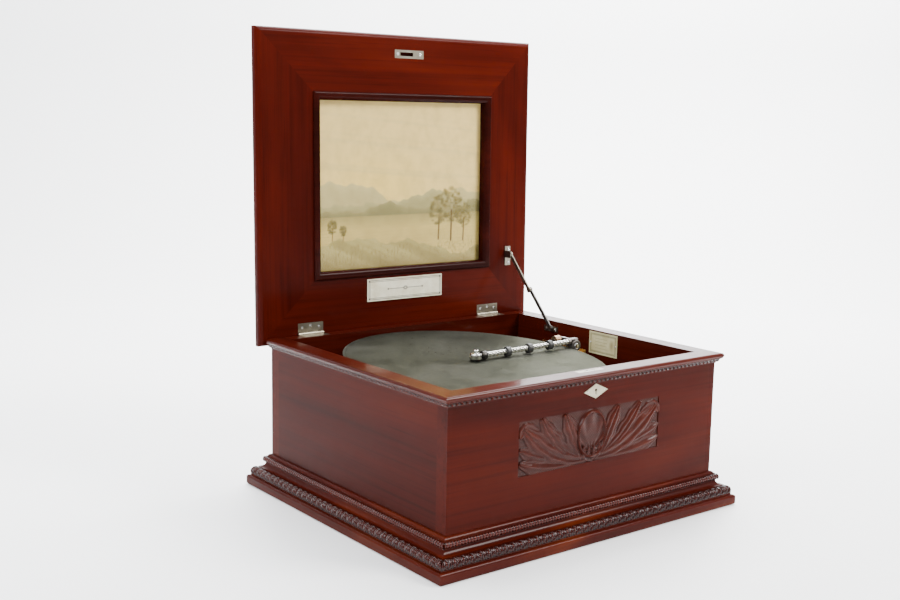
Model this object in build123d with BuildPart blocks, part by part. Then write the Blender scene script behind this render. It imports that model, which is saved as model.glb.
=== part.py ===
"""Table-top disc music box with the lid open: case, lid, disc movement and spring motor.

Millimetres. X runs along the front, Y to the back, Z up. The origin is on the table, under the
middle of the case. The lid stands open on its folding stay.
"""
from build123d import *
from math import cos, pi, radians, sin
import os

os.makedirs("parts", exist_ok=True)

# Case
CASE_W, CASE_D = 496.0, 440.0
WALL = 21.0
CASE_FOOT, CASE_TOP, RIM_TOP = 0.0, 215.0, 230.0
PLINTH_OUT, PLINTH_H, RIM_OUT = 29.0, 50.0, 9.5
HALF_W, HALF_D = CASE_W / 2, CASE_D / 2
IN_W, IN_D = HALF_W - WALL, HALF_D - WALL
FLOOR_Z, FLOOR_T = 0.0, 12.0

# Lid: local x along the hinge, y up the open lid, z out of its inner face
PIN_Y, PIN_Z, LEAN = 225.0, RIM_TOP + 0.3, 0.8
LID_HALF, LID_REAR, LID_FRONT, LID_T = 265.0, 13.0, 463.0, 21.0
INNER_ROUND, OUTER_ROUND = 7.0, 9.0
LID = Plane(origin=(0, PIN_Y, PIN_Z), x_dir=(1, 0, 0), z_dir=(0, -cos(radians(LEAN)), sin(radians(LEAN))))
PICTURE_X, PICTURE_Y = 4.0, 226.0
SIGHT_W, SIGHT_L = 161.0, 132.0
MOULD_LIP, MOULD_W, MOULD_RISE, GLASS_DEPTH = 2.5, 12.5, 4.0, 9.6
OPEN_W, OPEN_L = SIGHT_W + MOULD_LIP, SIGHT_L + MOULD_LIP
GLASS_T, PRINT_T = 2.0, 0.8
PLATE_X, PLATE_Y, PLATE_W, PLATE_L, PLATE_T = 2.5, 58.8, 148.0, 36.0, 1.2

# Hinges
HINGE_X, HINGE_L, LEAF_T, LEAF_IN = 176.5, 45.0, 2.0, 17.0
KNUCKLE_R, PIN_R, RUN = 3.0, 1.2, 0.05
KNUCKLES = 5
KNUCKLE_L = HINGE_L / KNUCKLES

# Lock
LOCK_X, KEY_Z, LOCK_Y = 4.0, 204.0, -207.0
LOCK_W, LOCK_T, LOCK_FOOT = 48.0, 10.0, 186.0
BOLT_W, BOLT_T = 18.0, 3.4
DIAMOND_W, DIAMOND_H, DIAMOND_T = 44.4, 20.4, 1.2
STRIKE_X, STRIKE_Y, STRIKE_W, STRIKE_L, STRIKE_T = 9.0, 432.8, 56.0, 13.0, 1.5
STRIKE_SCREW = 22.0

# Lid stay, in the plane of the right-hand wall
STAY_LOW, STAY_ELBOW, STAY_HIGH = (109.4, 218.1), (163.8, 276.6), (213.9, 332.2)
LOWER_X, UPPER_X, LINK_T, LINK_W, EYE_R, STUD_R = 219.6, 216.4, 2.0, 6.0, 4.8, 2.0
STAY_LIFT, STAY_OUT = 101.7, 12.5

# Tune disc: a sprung steel sheet that runs slightly tilted and dished
DISC_X, DISC_Z, DISC_R, DISC_T, DISC_HOLE, DISH = -28.0, 209.5, 196.85, 0.8, 3.6, 3.0
TILT_X, TILT_Y = 0.028, -0.050
DRIVE_HOLES, DRIVE_R, HOLE_R, HOLE_CUT = 240, 192.5, 1.1, 4.0
DISC = Plane(origin=(DISC_X, 0, DISC_Z), x_dir=(1, 0, -TILT_X), z_dir=(TILT_X, TILT_Y, 1))

# Movement, along a line from the spindle to the pressure bar's pivot
BAR_TURN = 2.7
BAR_WAY = (cos(radians(BAR_TURN)), sin(radians(BAR_TURN)), 0)
BAR = Plane(origin=(DISC_X, 0, 0), x_dir=BAR_WAY, z_dir=(0, 0, 1))
BED_Z, BED_T, BED_X0, BED_X1, BED_HALF = 158.0, 8.0, -70.0, 170.0, 190.0
BED_TOP = BED_Z + BED_T
TAB_X, TAB_HALF, LEG_R = 198.0, 14.0, 8.0
LEG_IN, LEG_IN_RIGHT = 12.0, 14.0
LEGS = [(x, way * (BED_HALF - LEG_IN))
        for x in (BED_X0 + LEG_IN, BED_X1 - LEG_IN_RIGHT) for way in (-1, 1)]
STARS, STAR_PITCH, STAR_R, STAR_T, STAR_START, STAR_Z = 32, 4.0, 9.0, 1.6, 52.0, 197.4
STAR_END = STAR_START + (STARS - 1) * STAR_PITCH
STAR_MID = (STAR_START + STAR_END) / 2
COMB_Z, COMB_T, COMB_TIP, COMB_ROOT, COMB_HEEL = 196.0, 2.6, 9.8, 34.0, 60.0
SPINDLE_R, SPINDLE_TOP, BOSS_R, BOSS_TOP = 3.0, 211.3, 8.0, 206.5
ROD_Z, ROD_R, ROLLER_R, ROLLER_T = 216.6, 3.4, 7.4, 7.0
ROLLERS = (64.0, 109.0, 153.0)
KNOB_R, KNOB_NECK, KNOB_Z, KNOB_TOP = 9.0, 4.0, 212.6, 221.4
PIVOT_R, PIVOT_Z, WHEEL_R, SCREW_SHANK = 209.0, 209.6, 9.8, 2.0
EDGE_Y, EDGE_Z, EDGE_R, EDGE_X0, EDGE_X1 = 31.0, 217.5, 6.5, 157.5, 168.5

# Spring motor: every shaft runs along X between two plates
PLATE_A, PLATE_B, MOTOR_T = 170.0, 211.0, 2.0
PLATE_Y0, PLATE_Y1, PLATE_Z0, PLATE_Z1 = 16.0, 118.0, 85.0, 198.0
SPROCKET, BARREL, SECOND = (30.0, 188.13), (68.0, 147.0), (21.2, 120.06)
PILLARS = [(112.0, 192.0), (112.0, 94.0), (50.0, 90.0)]
DRUM_R, DRUM_X0, DRUM_X1, DRUM_WALL = 42.0, 184.0, 208.0, 2.0
ARBOR_R, SHAFT_R, BUSH_R = 5.0, 2.5, 9.0
GEAR_X, GEAR_T, TOOTH_GAP = 178.0, 4.0, 0.15
GOV_X, GOV_Y, GOV_R, FLY_Z, FLY_H, FLY_HALF = 175.0, -13.0, 1.5, 76.0, 12.0, 19.0
CRANK_L, CRANK_X, HANDLE_R, HANDLE_L = 62.0, 254.0, 8.0, 34.0


# Clearances: how far a cut runs past a face, and the play of let-in and sliding pieces
OVER, LEAF_PLAY, POCKET_PLAY, CARVING_PLAY, SCREW_SUNK = 1.0, 0.2, 0.6, 0.4, 0.1


def save(piece, label):
    """Name a finished piece and write it as its own node."""
    piece.part.label = label
    export_step(piece.part, f"parts/{label}.step")


def outline(points):
    """Closed outline: a pair is a straight run to that point, four numbers an arc through two."""
    with BuildLine() as path:
        here = points[0]
        for step in points[1:]:
            if len(step) == 2:
                Line(here, step)
            else:
                ThreePointArc(here, step[:2], step[2:])
            here = step[-2:]
        Line(here, points[0])
    return path.edges()


def box(centre, size, mode=Mode.ADD):
    """A box placed by its centre in the running workplane."""
    with Locations(centre):
        Box(*size, mode=mode)


def rod_x(x0, x1, at, radius, mode=Mode.ADD):
    """A cylinder along X from x0 to x1 at (y, z)."""
    with Locations(Location(((x0 + x1) / 2, at[0], at[1]), (0, 90, 0))):
        Cylinder(radius, abs(x1 - x0), mode=mode)


def rod_z(at, z0, z1, radius, mode=Mode.ADD):
    """An upright cylinder from z0 to z1 at (x, y)."""
    with Locations((at[0], at[1], (z0 + z1) / 2)):
        Cylinder(radius, z1 - z0, mode=mode)


def moulding(base, outward, half_out, half_along, profile, centre=(0, 0), square_rear=False):
    """One length of moulding on a rectangle's side, its corners mitred; profile is (out, height)."""
    out = Vector(*outward, 0)
    along = Vector(0, 0, 1).cross(out)
    middle = Vector(*centre, 0)
    reach = half_along + PLINTH_OUT + WALL
    section = Plane(origin=middle, x_dir=out, z_dir=out.cross(Vector(0, 0, 1)))
    with BuildPart() as member:
        with BuildSketch(Plane(base.location * section.location)):
            shifted = [tuple(v + half_out * (i % 2 == 0) for i, v in enumerate(step)) for step in profile]
            make_face(outline(shifted))
        extrude(amount=reach, both=True)
        for way in (-1, 1):
            mitre = along * way - out
            if square_rear and along.Y * way > 0:
                mitre = along * way
            cut = Plane(origin=middle + out * half_out + along * (way * half_along), z_dir=mitre)
            split(bisect_by=Plane(base.location * cut.location), keep=Keep.BOTTOM)
    return member


SIDES = {"front": (0, -1), "rear": (0, 1), "left": (-1, 0), "right": (1, 0)}


# ---------------------------------------------------------------- case boards
POCKET_H = 60.0
LOCK_POCKET = (LOCK_W + POCKET_PLAY, LOCK_T + POCKET_PLAY, POCKET_H)
KEYHOLE_R, KEYHOLE_UP, KEYHOLE_DEEP = 2.4, 1.5, 8.0
KEYSLOT_W, KEYSLOT_L, KEYSLOT_DOWN = 2.2, 7.0, 2.0
CARVING_W, CARVING_H, CARVING_Z, CARVING_DEEP = 262.0, 74.0, 142.7, 4.0

with BuildPart() as case_front:
    box((0, -HALF_D + WALL / 2, (CASE_FOOT + CASE_TOP) / 2), (CASE_W, WALL, CASE_TOP - CASE_FOOT))
    box((LOCK_X, LOCK_Y, LOCK_FOOT + LOCK_POCKET[2] / 2), LOCK_POCKET, Mode.SUBTRACT)
    box((0, -HALF_D + CARVING_DEEP / 2, CARVING_Z), (CARVING_W, CARVING_DEEP, CARVING_H), Mode.SUBTRACT)
    with BuildSketch(Plane.XZ.offset(HALF_D)):
        with Locations((LOCK_X, KEY_Z + KEYHOLE_UP)):
            Circle(KEYHOLE_R)
        with Locations((LOCK_X, KEY_Z - KEYSLOT_DOWN)):
            Rectangle(KEYSLOT_W, KEYSLOT_L)
    extrude(amount=-KEYHOLE_DEEP, mode=Mode.SUBTRACT)
save(case_front, "case_front")

with BuildPart() as case_rear:
    box((0, HALF_D - WALL / 2, (CASE_FOOT + CASE_TOP) / 2), (CASE_W, WALL, CASE_TOP - CASE_FOOT))
save(case_rear, "case_rear")

with BuildPart() as case_left:
    box((-HALF_W + WALL / 2, 0, (CASE_FOOT + CASE_TOP) / 2), (WALL, 2 * IN_D, CASE_TOP - CASE_FOOT))
save(case_left, "case_left")

with BuildPart() as case_right:
    box((HALF_W - WALL / 2, 0, (CASE_FOOT + CASE_TOP) / 2), (WALL, 2 * IN_D, CASE_TOP - CASE_FOOT))
    rod_x(IN_W - OVER, HALF_W + OVER, BARREL, BUSH_R, Mode.SUBTRACT)
save(case_right, "case_right")

with BuildPart() as bottom_board:
    box((0, 0, FLOOR_Z + FLOOR_T / 2), (2 * IN_W, 2 * IN_D, FLOOR_T))
save(bottom_board, "bottom_board")

# ---------------------------------------------------------------- base and rim mouldings
# Outwards from the case's face: plinth, ovolo, fillet, cove, bead and top torus
PLINTH = [(0, 0), (26, 0), (28.1, 0.9, 29, 3), (29, 11), (28, 14, 25, 15.2), (23.9, 15.2), (23.9, 17.5),
          (21.8, 24.6, 15.5, 27.8), (15, 27.8), (15, 29.2), (13.5, 29.2), (9, 32, 6.8, 37.9), (6.8, 38.3),
          (9.6, 41.6, 6.2, 44.9), (5.3, 45.2), (4, 48.6, 0.6, PLINTH_H), (0, PLINTH_H)]
RIM = [(-WALL, CASE_TOP), (1, CASE_TOP), (1, 216.2), (3.2, 219.6, 7, 222), (8.2, 222.6), (8.2, 223.6),
       (RIM_OUT, 226.6, 5, RIM_TOP), (-WALL, RIM_TOP)]

for side, outward in SIDES.items():
    halves = (HALF_D, HALF_W) if outward[0] == 0 else (HALF_W, HALF_D)
    save(moulding(Plane.XY, outward, *halves, PLINTH), f"plinth_{side}")

for side in ("left", "right"):
    save(moulding(Plane.XY, SIDES[side], HALF_W, HALF_D, RIM, square_rear=True), f"rim_{side}")

rim_front_blank = moulding(Plane.XY, SIDES["front"], HALF_D, HALF_W, RIM)
with BuildPart() as rim_front:
    add(rim_front_blank.part)
    box((LOCK_X, LOCK_Y, RIM_TOP), LOCK_POCKET, Mode.SUBTRACT)
save(rim_front, "rim_front")

with BuildPart() as rim_rear:
    box((0, HALF_D - WALL / 2, (CASE_TOP + RIM_TOP) / 2), (2 * IN_W, WALL, RIM_TOP - CASE_TOP))
    for way in (-1, 1):
        pocket = (HINGE_L + LEAF_PLAY, LEAF_IN + LEAF_PLAY, LEAF_T)
        box((way * HINGE_X, HALF_D - LEAF_IN / 2, RIM_TOP - LEAF_T / 2), pocket, Mode.SUBTRACT)
save(rim_rear, "rim_rear")

# ---------------------------------------------------------------- front carving, lock and key plate
GROUND, RELIEF = 2.6, 3.6
MEDALLION = (25.0, 31.0)
SPRAY, SPRAY_LEAF = 4, (26.0, 7.5)
SPRAY_X, SPRAY_STEP, SPRAY_DOWN, SPRAY_RISE, SPRAY_TURN, SPRAY_FALL = 44.0, 21.0, 6.0, 3.0, 35.0, 22.0
UPPER_LEAF, UPPER_LEAF_X, UPPER_LEAF_UP, UPPER_LEAF_TURN = (30.0, 6.0), 66.0, 14.0, 18.0
with BuildPart() as front_carving:
    ground = (CARVING_W - CARVING_PLAY, GROUND, CARVING_H - CARVING_PLAY)
    box((0, -HALF_D + CARVING_DEEP - GROUND / 2, CARVING_Z), ground)
    with BuildSketch(Plane.XZ.offset(HALF_D - CARVING_DEEP + GROUND)):
        with Locations((0, CARVING_Z)):
            Ellipse(*MEDALLION)
        for way in (-1, 1):
            for leaf in range(SPRAY):
                turn = SPRAY_TURN - SPRAY_FALL * leaf
                height = CARVING_Z - SPRAY_DOWN + SPRAY_RISE * leaf
                with Locations((way * (SPRAY_X + SPRAY_STEP * leaf), height)):
                    Ellipse(*SPRAY_LEAF, rotation=way * turn)
            with Locations((way * UPPER_LEAF_X, CARVING_Z + UPPER_LEAF_UP)):
                Ellipse(*UPPER_LEAF, rotation=-way * UPPER_LEAF_TURN)
    extrude(amount=RELIEF)
save(front_carving, "front_carving")

PLATE_HOLE_R, PLATE_SLOT_W, PLATE_SLOT_L, PLATE_SLOT_DOWN = 1.9, 1.8, 6.0, 1.6
with BuildPart() as escutcheon:
    with BuildSketch(Plane.XZ.offset(HALF_D)):
        with Locations((LOCK_X, KEY_Z)):
            Polygon((-DIAMOND_W / 2, 0), (0, -DIAMOND_H / 2), (DIAMOND_W / 2, 0), (0, DIAMOND_H / 2))
        with Locations((LOCK_X, KEY_Z + KEYHOLE_UP)):
            Circle(PLATE_HOLE_R, mode=Mode.SUBTRACT)
        with Locations((LOCK_X, KEY_Z - PLATE_SLOT_DOWN)):
            Rectangle(PLATE_SLOT_W, PLATE_SLOT_L, mode=Mode.SUBTRACT)
    extrude(amount=DIAMOND_T)
save(escutcheon, "escutcheon")

BOLT_FOOT, BOLT_SUNK, BOLT_GAP = 198.0, 0.5, 2.0
BOLT_PLAY_X, BOLT_PLAY_Y = 0.8, 0.6
NOTCH_W, NOTCH_H, NOTCH_DOWN = 5.0, 2.6, 4.0
with BuildPart() as lock_case:
    box((LOCK_X, LOCK_Y, (LOCK_FOOT + RIM_TOP) / 2), (LOCK_W, LOCK_T, RIM_TOP - LOCK_FOOT))
    slot_h = RIM_TOP - BOLT_FOOT + BOLT_GAP
    slot = (BOLT_W + BOLT_PLAY_X, BOLT_T + BOLT_PLAY_Y, slot_h)
    box((LOCK_X, LOCK_Y, RIM_TOP - slot_h / 2), slot, Mode.SUBTRACT)
save(lock_case, "lock_case")

with BuildPart() as lock_bolt:
    bolt_top = RIM_TOP - BOLT_SUNK
    box((LOCK_X, LOCK_Y, (BOLT_FOOT + bolt_top) / 2), (BOLT_W, BOLT_T, bolt_top - BOLT_FOOT))
    for way in (-1, 1):
        notch = (NOTCH_W, BOLT_T + OVER, NOTCH_H)
        box((LOCK_X + way * BOLT_W / 2, LOCK_Y, RIM_TOP - NOTCH_DOWN), notch, Mode.SUBTRACT)
save(lock_bolt, "lock_bolt")

# ---------------------------------------------------------------- right wall: tune card and stay bracket
CARD_Y, CARD_Z, CARD_L, CARD_H, CARD_T, CARD_BULGE = -9.2, 209.6, 63.0, 36.4, 0.7, 1.0
with BuildPart() as tune_card:
    with BuildSketch(Plane.YZ.offset(IN_W - CARD_T)):
        half, tall = CARD_L / 2, CARD_H / 2
        with Locations((CARD_Y, CARD_Z)):
            Polygon((-half, CARD_BULGE - tall), (0, -tall), (half, CARD_BULGE - tall),
                    (half + CARD_BULGE, 0),
                    (half, tall - CARD_BULGE), (0, tall), (-half, tall - CARD_BULGE),
                    (-half - CARD_BULGE, 0))
    extrude(amount=CARD_T)
save(tune_card, "tune_card")

BRACKET_T, BRACKET_L, BRACKET_H, BRACKET_SHIFT, BRACKET_DROP = 1.5, 33.0, 9.0, 5.0, 2.0
STUD_HEAD_R, STUD_HEAD_T, STUD_PLAY, STUD_SHOULDER = 3.4, 0.8, 0.2, 0.3
with BuildPart() as stay_case_bracket:
    foot = (IN_W - BRACKET_T / 2, STAY_LOW[0] + BRACKET_SHIFT, STAY_LOW[1] - BRACKET_DROP)
    box(foot, (BRACKET_T, BRACKET_L, BRACKET_H))
    rod_x(LOWER_X - STUD_PLAY, IN_W - BRACKET_T, STAY_LOW, STUD_R)
    rod_x(LOWER_X - STUD_PLAY - STUD_HEAD_T, LOWER_X - STUD_PLAY, STAY_LOW, STUD_HEAD_R)
    rod_x(LOWER_X + LINK_T + STUD_SHOULDER, IN_W - BRACKET_T, STAY_LOW, STUD_HEAD_R)
save(stay_case_bracket, "stay_case_bracket")


RIVET_R, STOP_R, STOP_T = 3.0, 2.6, 1.0


def link(x0, start, end, heads, stop=None):
    """A flat stay link in a plane of constant X with an eye at its start and a rivet at its end."""
    run = Vector(end[0] - start[0], end[1] - start[1])
    angle = run.get_angle(Vector(1, 0))
    middle = ((start[0] + end[0]) / 2, (start[1] + end[1]) / 2)
    with BuildPart() as piece:
        with BuildSketch(Plane.YZ.offset(x0)):
            with Locations(middle):
                Rectangle(run.length, LINK_W, rotation=angle if run.Y > 0 else -angle)
            with Locations(start, end):
                Circle(EYE_R)
            with Locations(start):
                Circle(STUD_R + RUN, mode=Mode.SUBTRACT)
        extrude(amount=LINK_T)
        rod_x(*heads, end, RIVET_R)
        if stop is not None:
            rod_x(x0 + LINK_T, x0 + LINK_T + STOP_T, stop, STOP_R)
    return piece


RIVET = (143.0, 254.2)
LOWER_HEAD_T, UPPER_HEAD_T = 0.9, 1.0
LOWER_HEADS = (LOWER_X - LOWER_HEAD_T, LOWER_X + LINK_T + STOP_T)
UPPER_HEADS = (UPPER_X - UPPER_HEAD_T, UPPER_X + LINK_T)
save(link(LOWER_X, STAY_LOW, STAY_ELBOW, LOWER_HEADS, stop=RIVET), "stay_lower_link")
save(link(UPPER_X, STAY_HIGH, STAY_ELBOW, UPPER_HEADS), "stay_upper_link")

# ---------------------------------------------------------------- hinges
SCREW_R = 2.4
LEAF_HOLES = ((-15.0, 10.0), (0.0, 12.5), (15.0, 10.0))
LEAF_SCREWS = [(way * HINGE_X + dx, dy) for way in (-1, 1) for dx, dy in LEAF_HOLES]
CASE_LEAF_SHIFT, KNUCKLE_GAP, KNUCKLE_ROOM = 4.0, 0.2, 7.4


def hinge_row(y, z, own, other):
    """Both hinges' knuckles round the pin line at (y, z): its own added, room left for the other's."""
    for way in (-1, 1):
        for place in range(KNUCKLES):
            x = way * HINGE_X + (place - (KNUCKLES - 1) / 2) * KNUCKLE_L
            if place in other:
                box((x, y, z), (KNUCKLE_L + 2 * KNUCKLE_GAP, KNUCKLE_ROOM, KNUCKLE_ROOM), Mode.SUBTRACT)
        for place in own:
            x = way * HINGE_X + (place - (KNUCKLES - 1) / 2) * KNUCKLE_L
            rod_x(x - KNUCKLE_L / 2 + KNUCKLE_GAP, x + KNUCKLE_L / 2 - KNUCKLE_GAP, (y, z), KNUCKLE_R)


OUTER, MIDDLE = (0, 2, 4), (1, 3)
with BuildPart() as hinge_case_leaves:
    leaf_l = PIN_Y - HALF_D + LEAF_IN
    with Locations(*[(way * HINGE_X, PIN_Y - leaf_l / 2, RIM_TOP - LEAF_T / 2) for way in (-1, 1)]):
        Box(HINGE_L, leaf_l, LEAF_T)
    hinge_row(PIN_Y, PIN_Z, OUTER, MIDDLE)
    for way in (-1, 1):
        rod_x(way * HINGE_X - HINGE_L / 2, way * HINGE_X + HINGE_L / 2, (PIN_Y, PIN_Z), PIN_R)
    for x, y in LEAF_SCREWS:
        at = (x, PIN_Y - CASE_LEAF_SHIFT - y)
        rod_z(at, RIM_TOP - LEAF_T - OVER, RIM_TOP + OVER, SCREW_R + RUN, Mode.SUBTRACT)
save(hinge_case_leaves, "hinge_case_leaves")

COMB_SCREW_X, COMB_SCREW_STEP, COMB_SCREW_Y, COMB_SCREW_ROW = 12.0, 25.0, 52.0, 5
COMB_SCREWS = [(STAR_START + COMB_SCREW_X + COMB_SCREW_STEP * i, side * COMB_SCREW_Y)
               for i in range(COMB_SCREW_ROW) for side in (-1, 1)]
BRACKET_SCREWS, BRACKET_SCREW_R, BRACKET_SCREW_T = (-6.0, 16.0), 2.2, 0.8
CARD_PIN_R, CARD_PIN_T, CARD_PIN_Y = 1.5, 0.9, 28.0
PLATE_PIN_R, PLATE_PIN_T, PLATE_PIN_X = 1.1, 0.8, 15.5
LEG_SCREW_R, LEG_SCREW_T, COMB_SCREW_R, COMB_SCREW_T = 4.5, 2.5, 3.2, 2.0
with BuildPart() as case_screws:
    for x, y in LEAF_SCREWS:
        rod_z((x, PIN_Y - CASE_LEAF_SHIFT - y), RIM_TOP - LEAF_T, RIM_TOP - SCREW_SUNK, SCREW_R)
    for along in BRACKET_SCREWS:
        at = (STAY_LOW[0] + along, STAY_LOW[1] - BRACKET_DROP)
        rod_x(IN_W - BRACKET_T - BRACKET_SCREW_T, IN_W - BRACKET_T, at, BRACKET_SCREW_R)
    for way in (-1, 1):
        rod_x(IN_W - CARD_T - CARD_PIN_T, IN_W - CARD_T, (CARD_Y + way * CARD_PIN_Y, CARD_Z), CARD_PIN_R)
        at = (LOCK_X + way * PLATE_PIN_X, -HALF_D - DIAMOND_T - PLATE_PIN_T / 2, KEY_Z)
        with Locations(Location(at, (90, 0, 0))):
            Cylinder(PLATE_PIN_R, PLATE_PIN_T)
    for spot in LEGS:
        rod_z(spot, BED_TOP, BED_TOP + LEG_SCREW_T, LEG_SCREW_R)
    for x, y in COMB_SCREWS:
        at = tuple(BAR.from_local_coords((x, y, 0)))[:2]
        rod_z(at, COMB_Z + COMB_T, COMB_Z + COMB_T + COMB_SCREW_T, COMB_SCREW_R)
save(case_screws, "case_screws")

# ---------------------------------------------------------------- lid
HINGE_ROOM, BOLT_ROOM = 4.2, (28.0, 9.0, 9.0)


def lid_member(side):
    """One mitred member of the lid's frame, its outer edges rounded; ends run corner to corner."""
    near, far = -LID_REAR, LID_FRONT
    outer = {"front": [(-LID_HALF, far), (LID_HALF, far)], "rear": [(LID_HALF, near), (-LID_HALF, near)],
             "left": [(-LID_HALF, near), (-LID_HALF, far)],
             "right": [(LID_HALF, far), (LID_HALF, near)]}[side]
    inner = [(PICTURE_X + OPEN_W * (1 if x > 0 else -1), PICTURE_Y + OPEN_L * (1 if y > 0 else -1))
             for x, y in reversed(outer)]
    with BuildPart() as member:
        with BuildSketch(LID):
            Polygon(*outer, *inner, align=None)
        extrude(amount=-LID_T)
        run = Vector(*outer[1]) - Vector(*outer[0])
        rim_edges = member.edges().filter_by(lambda e: abs(e.length - run.length) < 0.1)
        by_height = rim_edges.sort_by(Axis(LID.origin, LID.z_dir))
        fillet(by_height[-1], INNER_ROUND)
        rest = member.edges().filter_by(lambda e: abs(e.length - run.length) < 0.1)
        fillet(rest.sort_by(Axis(LID.origin, LID.z_dir))[0], OUTER_ROUND)
    return member


for side in ("left", "right"):
    save(lid_member(side), f"lid_stile_{side}")

front_blank = lid_member("front")
with BuildPart() as lid_rail_front:
    add(front_blank.part)
    with Locations(LID.location):
        box((LOCK_X, STRIKE_Y, -BOLT_ROOM[2] / 2), BOLT_ROOM, Mode.SUBTRACT)
        strike_room = (STRIKE_W + LEAF_PLAY, STRIKE_L + LEAF_PLAY, STRIKE_T)
        box((STRIKE_X, STRIKE_Y, -STRIKE_T / 2), strike_room, Mode.SUBTRACT)
save(lid_rail_front, "lid_rail_front")

rear_blank = lid_member("rear")
leaf_room = (HINGE_L + LEAF_PLAY, LEAF_IN + LEAF_PLAY / 2, LEAF_T)
with BuildPart() as lid_rail_rear:
    add(rear_blank.part)
    with Locations(LID.location):
        for way in (-1, 1):
            box((way * HINGE_X, 0, 0), (HINGE_L + LEAF_PLAY, 2 * HINGE_ROOM, 2 * HINGE_ROOM), Mode.SUBTRACT)
            box((way * HINGE_X, leaf_room[1] / 2, -LEAF_T / 2), leaf_room, Mode.SUBTRACT)
save(lid_rail_rear, "lid_rail_rear")

PANEL_T = LID_T - GLASS_DEPTH - GLASS_T - PRINT_T
with BuildPart(LID) as lid_panel:
    box((PICTURE_X, PICTURE_Y, -LID_T + PANEL_T / 2), (2 * OPEN_W, 2 * OPEN_L, PANEL_T))
save(lid_panel, "lid_panel")

with BuildPart(LID) as picture_print:
    box((PICTURE_X, PICTURE_Y, -GLASS_DEPTH - GLASS_T - PRINT_T / 2), (2 * OPEN_W, 2 * OPEN_L, PRINT_T))
save(picture_print, "picture_print")

with BuildPart(LID) as picture_glass:
    box((PICTURE_X, PICTURE_Y, -GLASS_DEPTH - GLASS_T / 2), (2 * OPEN_W, 2 * OPEN_L, GLASS_T))
save(picture_glass, "picture_glass")

MOULD = [(0, -GLASS_DEPTH), (MOULD_LIP, -GLASS_DEPTH), (MOULD_LIP, 0), (MOULD_W, 0), (12.1, 3.2, 9, 4),
         (7, MOULD_RISE), (2, 2.2, 0, -3)]
with BuildPart() as picture_moulding:
    for side, outward in SIDES.items():
        halves = (SIGHT_L, SIGHT_W) if outward[0] == 0 else (SIGHT_W, SIGHT_L)
        add(moulding(LID, outward, *halves, MOULD, centre=(PICTURE_X, PICTURE_Y)).part)
save(picture_moulding, "picture_moulding")

with BuildPart(LID) as name_plate:
    box((PLATE_X, PLATE_Y, PLATE_T / 2), (PLATE_W, PLATE_L, PLATE_T))
save(name_plate, "name_plate")

STRIKE_SLOT_X, STRIKE_SLOT_Y = 7.0, 2.4
with BuildPart(LID) as strike_plate:
    box((STRIKE_X, STRIKE_Y, -STRIKE_T / 2), (STRIKE_W, STRIKE_L, STRIKE_T))
    slot = (BOLT_W + STRIKE_SLOT_X, BOLT_T + STRIKE_SLOT_Y, 2 * STRIKE_T)
    box((LOCK_X, STRIKE_Y, -STRIKE_T / 2), slot, Mode.SUBTRACT)
    for way in (-1, 1):
        rod_z((STRIKE_X + way * STRIKE_SCREW, STRIKE_Y), -STRIKE_T, 0, SCREW_R + RUN, Mode.SUBTRACT)
save(strike_plate, "strike_plate")

with BuildPart(LID) as lid_hinge_leaves:
    with Locations(*[(way * HINGE_X, LEAF_IN / 2, -LEAF_T / 2) for way in (-1, 1)]):
        Box(HINGE_L, LEAF_IN, LEAF_T)
    hinge_row(0, 0, MIDDLE, OUTER)
    for way in (-1, 1):
        rod_x(way * HINGE_X - HINGE_L / 2, way * HINGE_X + HINGE_L / 2, (0, 0), PIN_R + RUN, Mode.SUBTRACT)
    for x, y in LEAF_SCREWS:
        rod_z((x, y), -LEAF_T - OVER, OVER, SCREW_R + RUN, Mode.SUBTRACT)
save(lid_hinge_leaves, "lid_hinge_leaves")

FLANGE_X, FLANGE_W, FLANGE_DOWN = 220.0, 12.0, 3.2
EAR_X, EAR_T, EAR_W, EAR_OVER, EAR_HEAD_R, EAR_HEAD_T = 214.5, 2.0, 12.0, 4.5, 3.2, 0.7
FLANGE_SCREW_X, FLANGE_SCREW_Y, FLANGE_SCREW_T = 221.5, 11.0, 0.9
with BuildPart(LID) as stay_lid_bracket:
    box((FLANGE_X, STAY_LIFT - FLANGE_DOWN, BRACKET_T / 2), (FLANGE_W, BRACKET_L, BRACKET_T))
    box((EAR_X, STAY_LIFT, (STAY_OUT + EAR_OVER) / 2), (EAR_T, EAR_W, STAY_OUT + EAR_OVER))
    stud_end = UPPER_X + LINK_T + STUD_PLAY
    rod_x(EAR_X + EAR_T / 2, stud_end, (STAY_LIFT, STAY_OUT), STUD_R)
    rod_x(stud_end, stud_end + EAR_HEAD_T, (STAY_LIFT, STAY_OUT), EAR_HEAD_R)
save(stay_lid_bracket, "stay_lid_bracket")

with BuildPart(LID) as lid_screws:
    for x, y in LEAF_SCREWS:
        rod_z((x, y), -LEAF_T, -SCREW_SUNK, SCREW_R)
    for way in (-1, 1):
        rod_z((STRIKE_X + way * STRIKE_SCREW, STRIKE_Y), -STRIKE_T, -SCREW_SUNK, SCREW_R)
        at = (FLANGE_SCREW_X, STAY_LIFT - FLANGE_DOWN + way * FLANGE_SCREW_Y)
        rod_z(at, BRACKET_T, BRACKET_T + FLANGE_SCREW_T, SCREW_R)
save(lid_screws, "lid_screws")

# ---------------------------------------------------------------- movement
with BuildPart() as bedplate:
    box(((BED_X0 + BED_X1) / 2, 0, BED_Z + BED_T / 2), (BED_X1 - BED_X0, 2 * BED_HALF, BED_T))
    box(((BED_X1 + TAB_X) / 2, 0, BED_Z + BED_T / 2), (TAB_X - BED_X1, 2 * TAB_HALF, BED_T))
    for spot in LEGS:
        rod_z(spot, FLOOR_Z + FLOOR_T, BED_Z, LEG_R)
save(bedplate, "bedplate")

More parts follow.
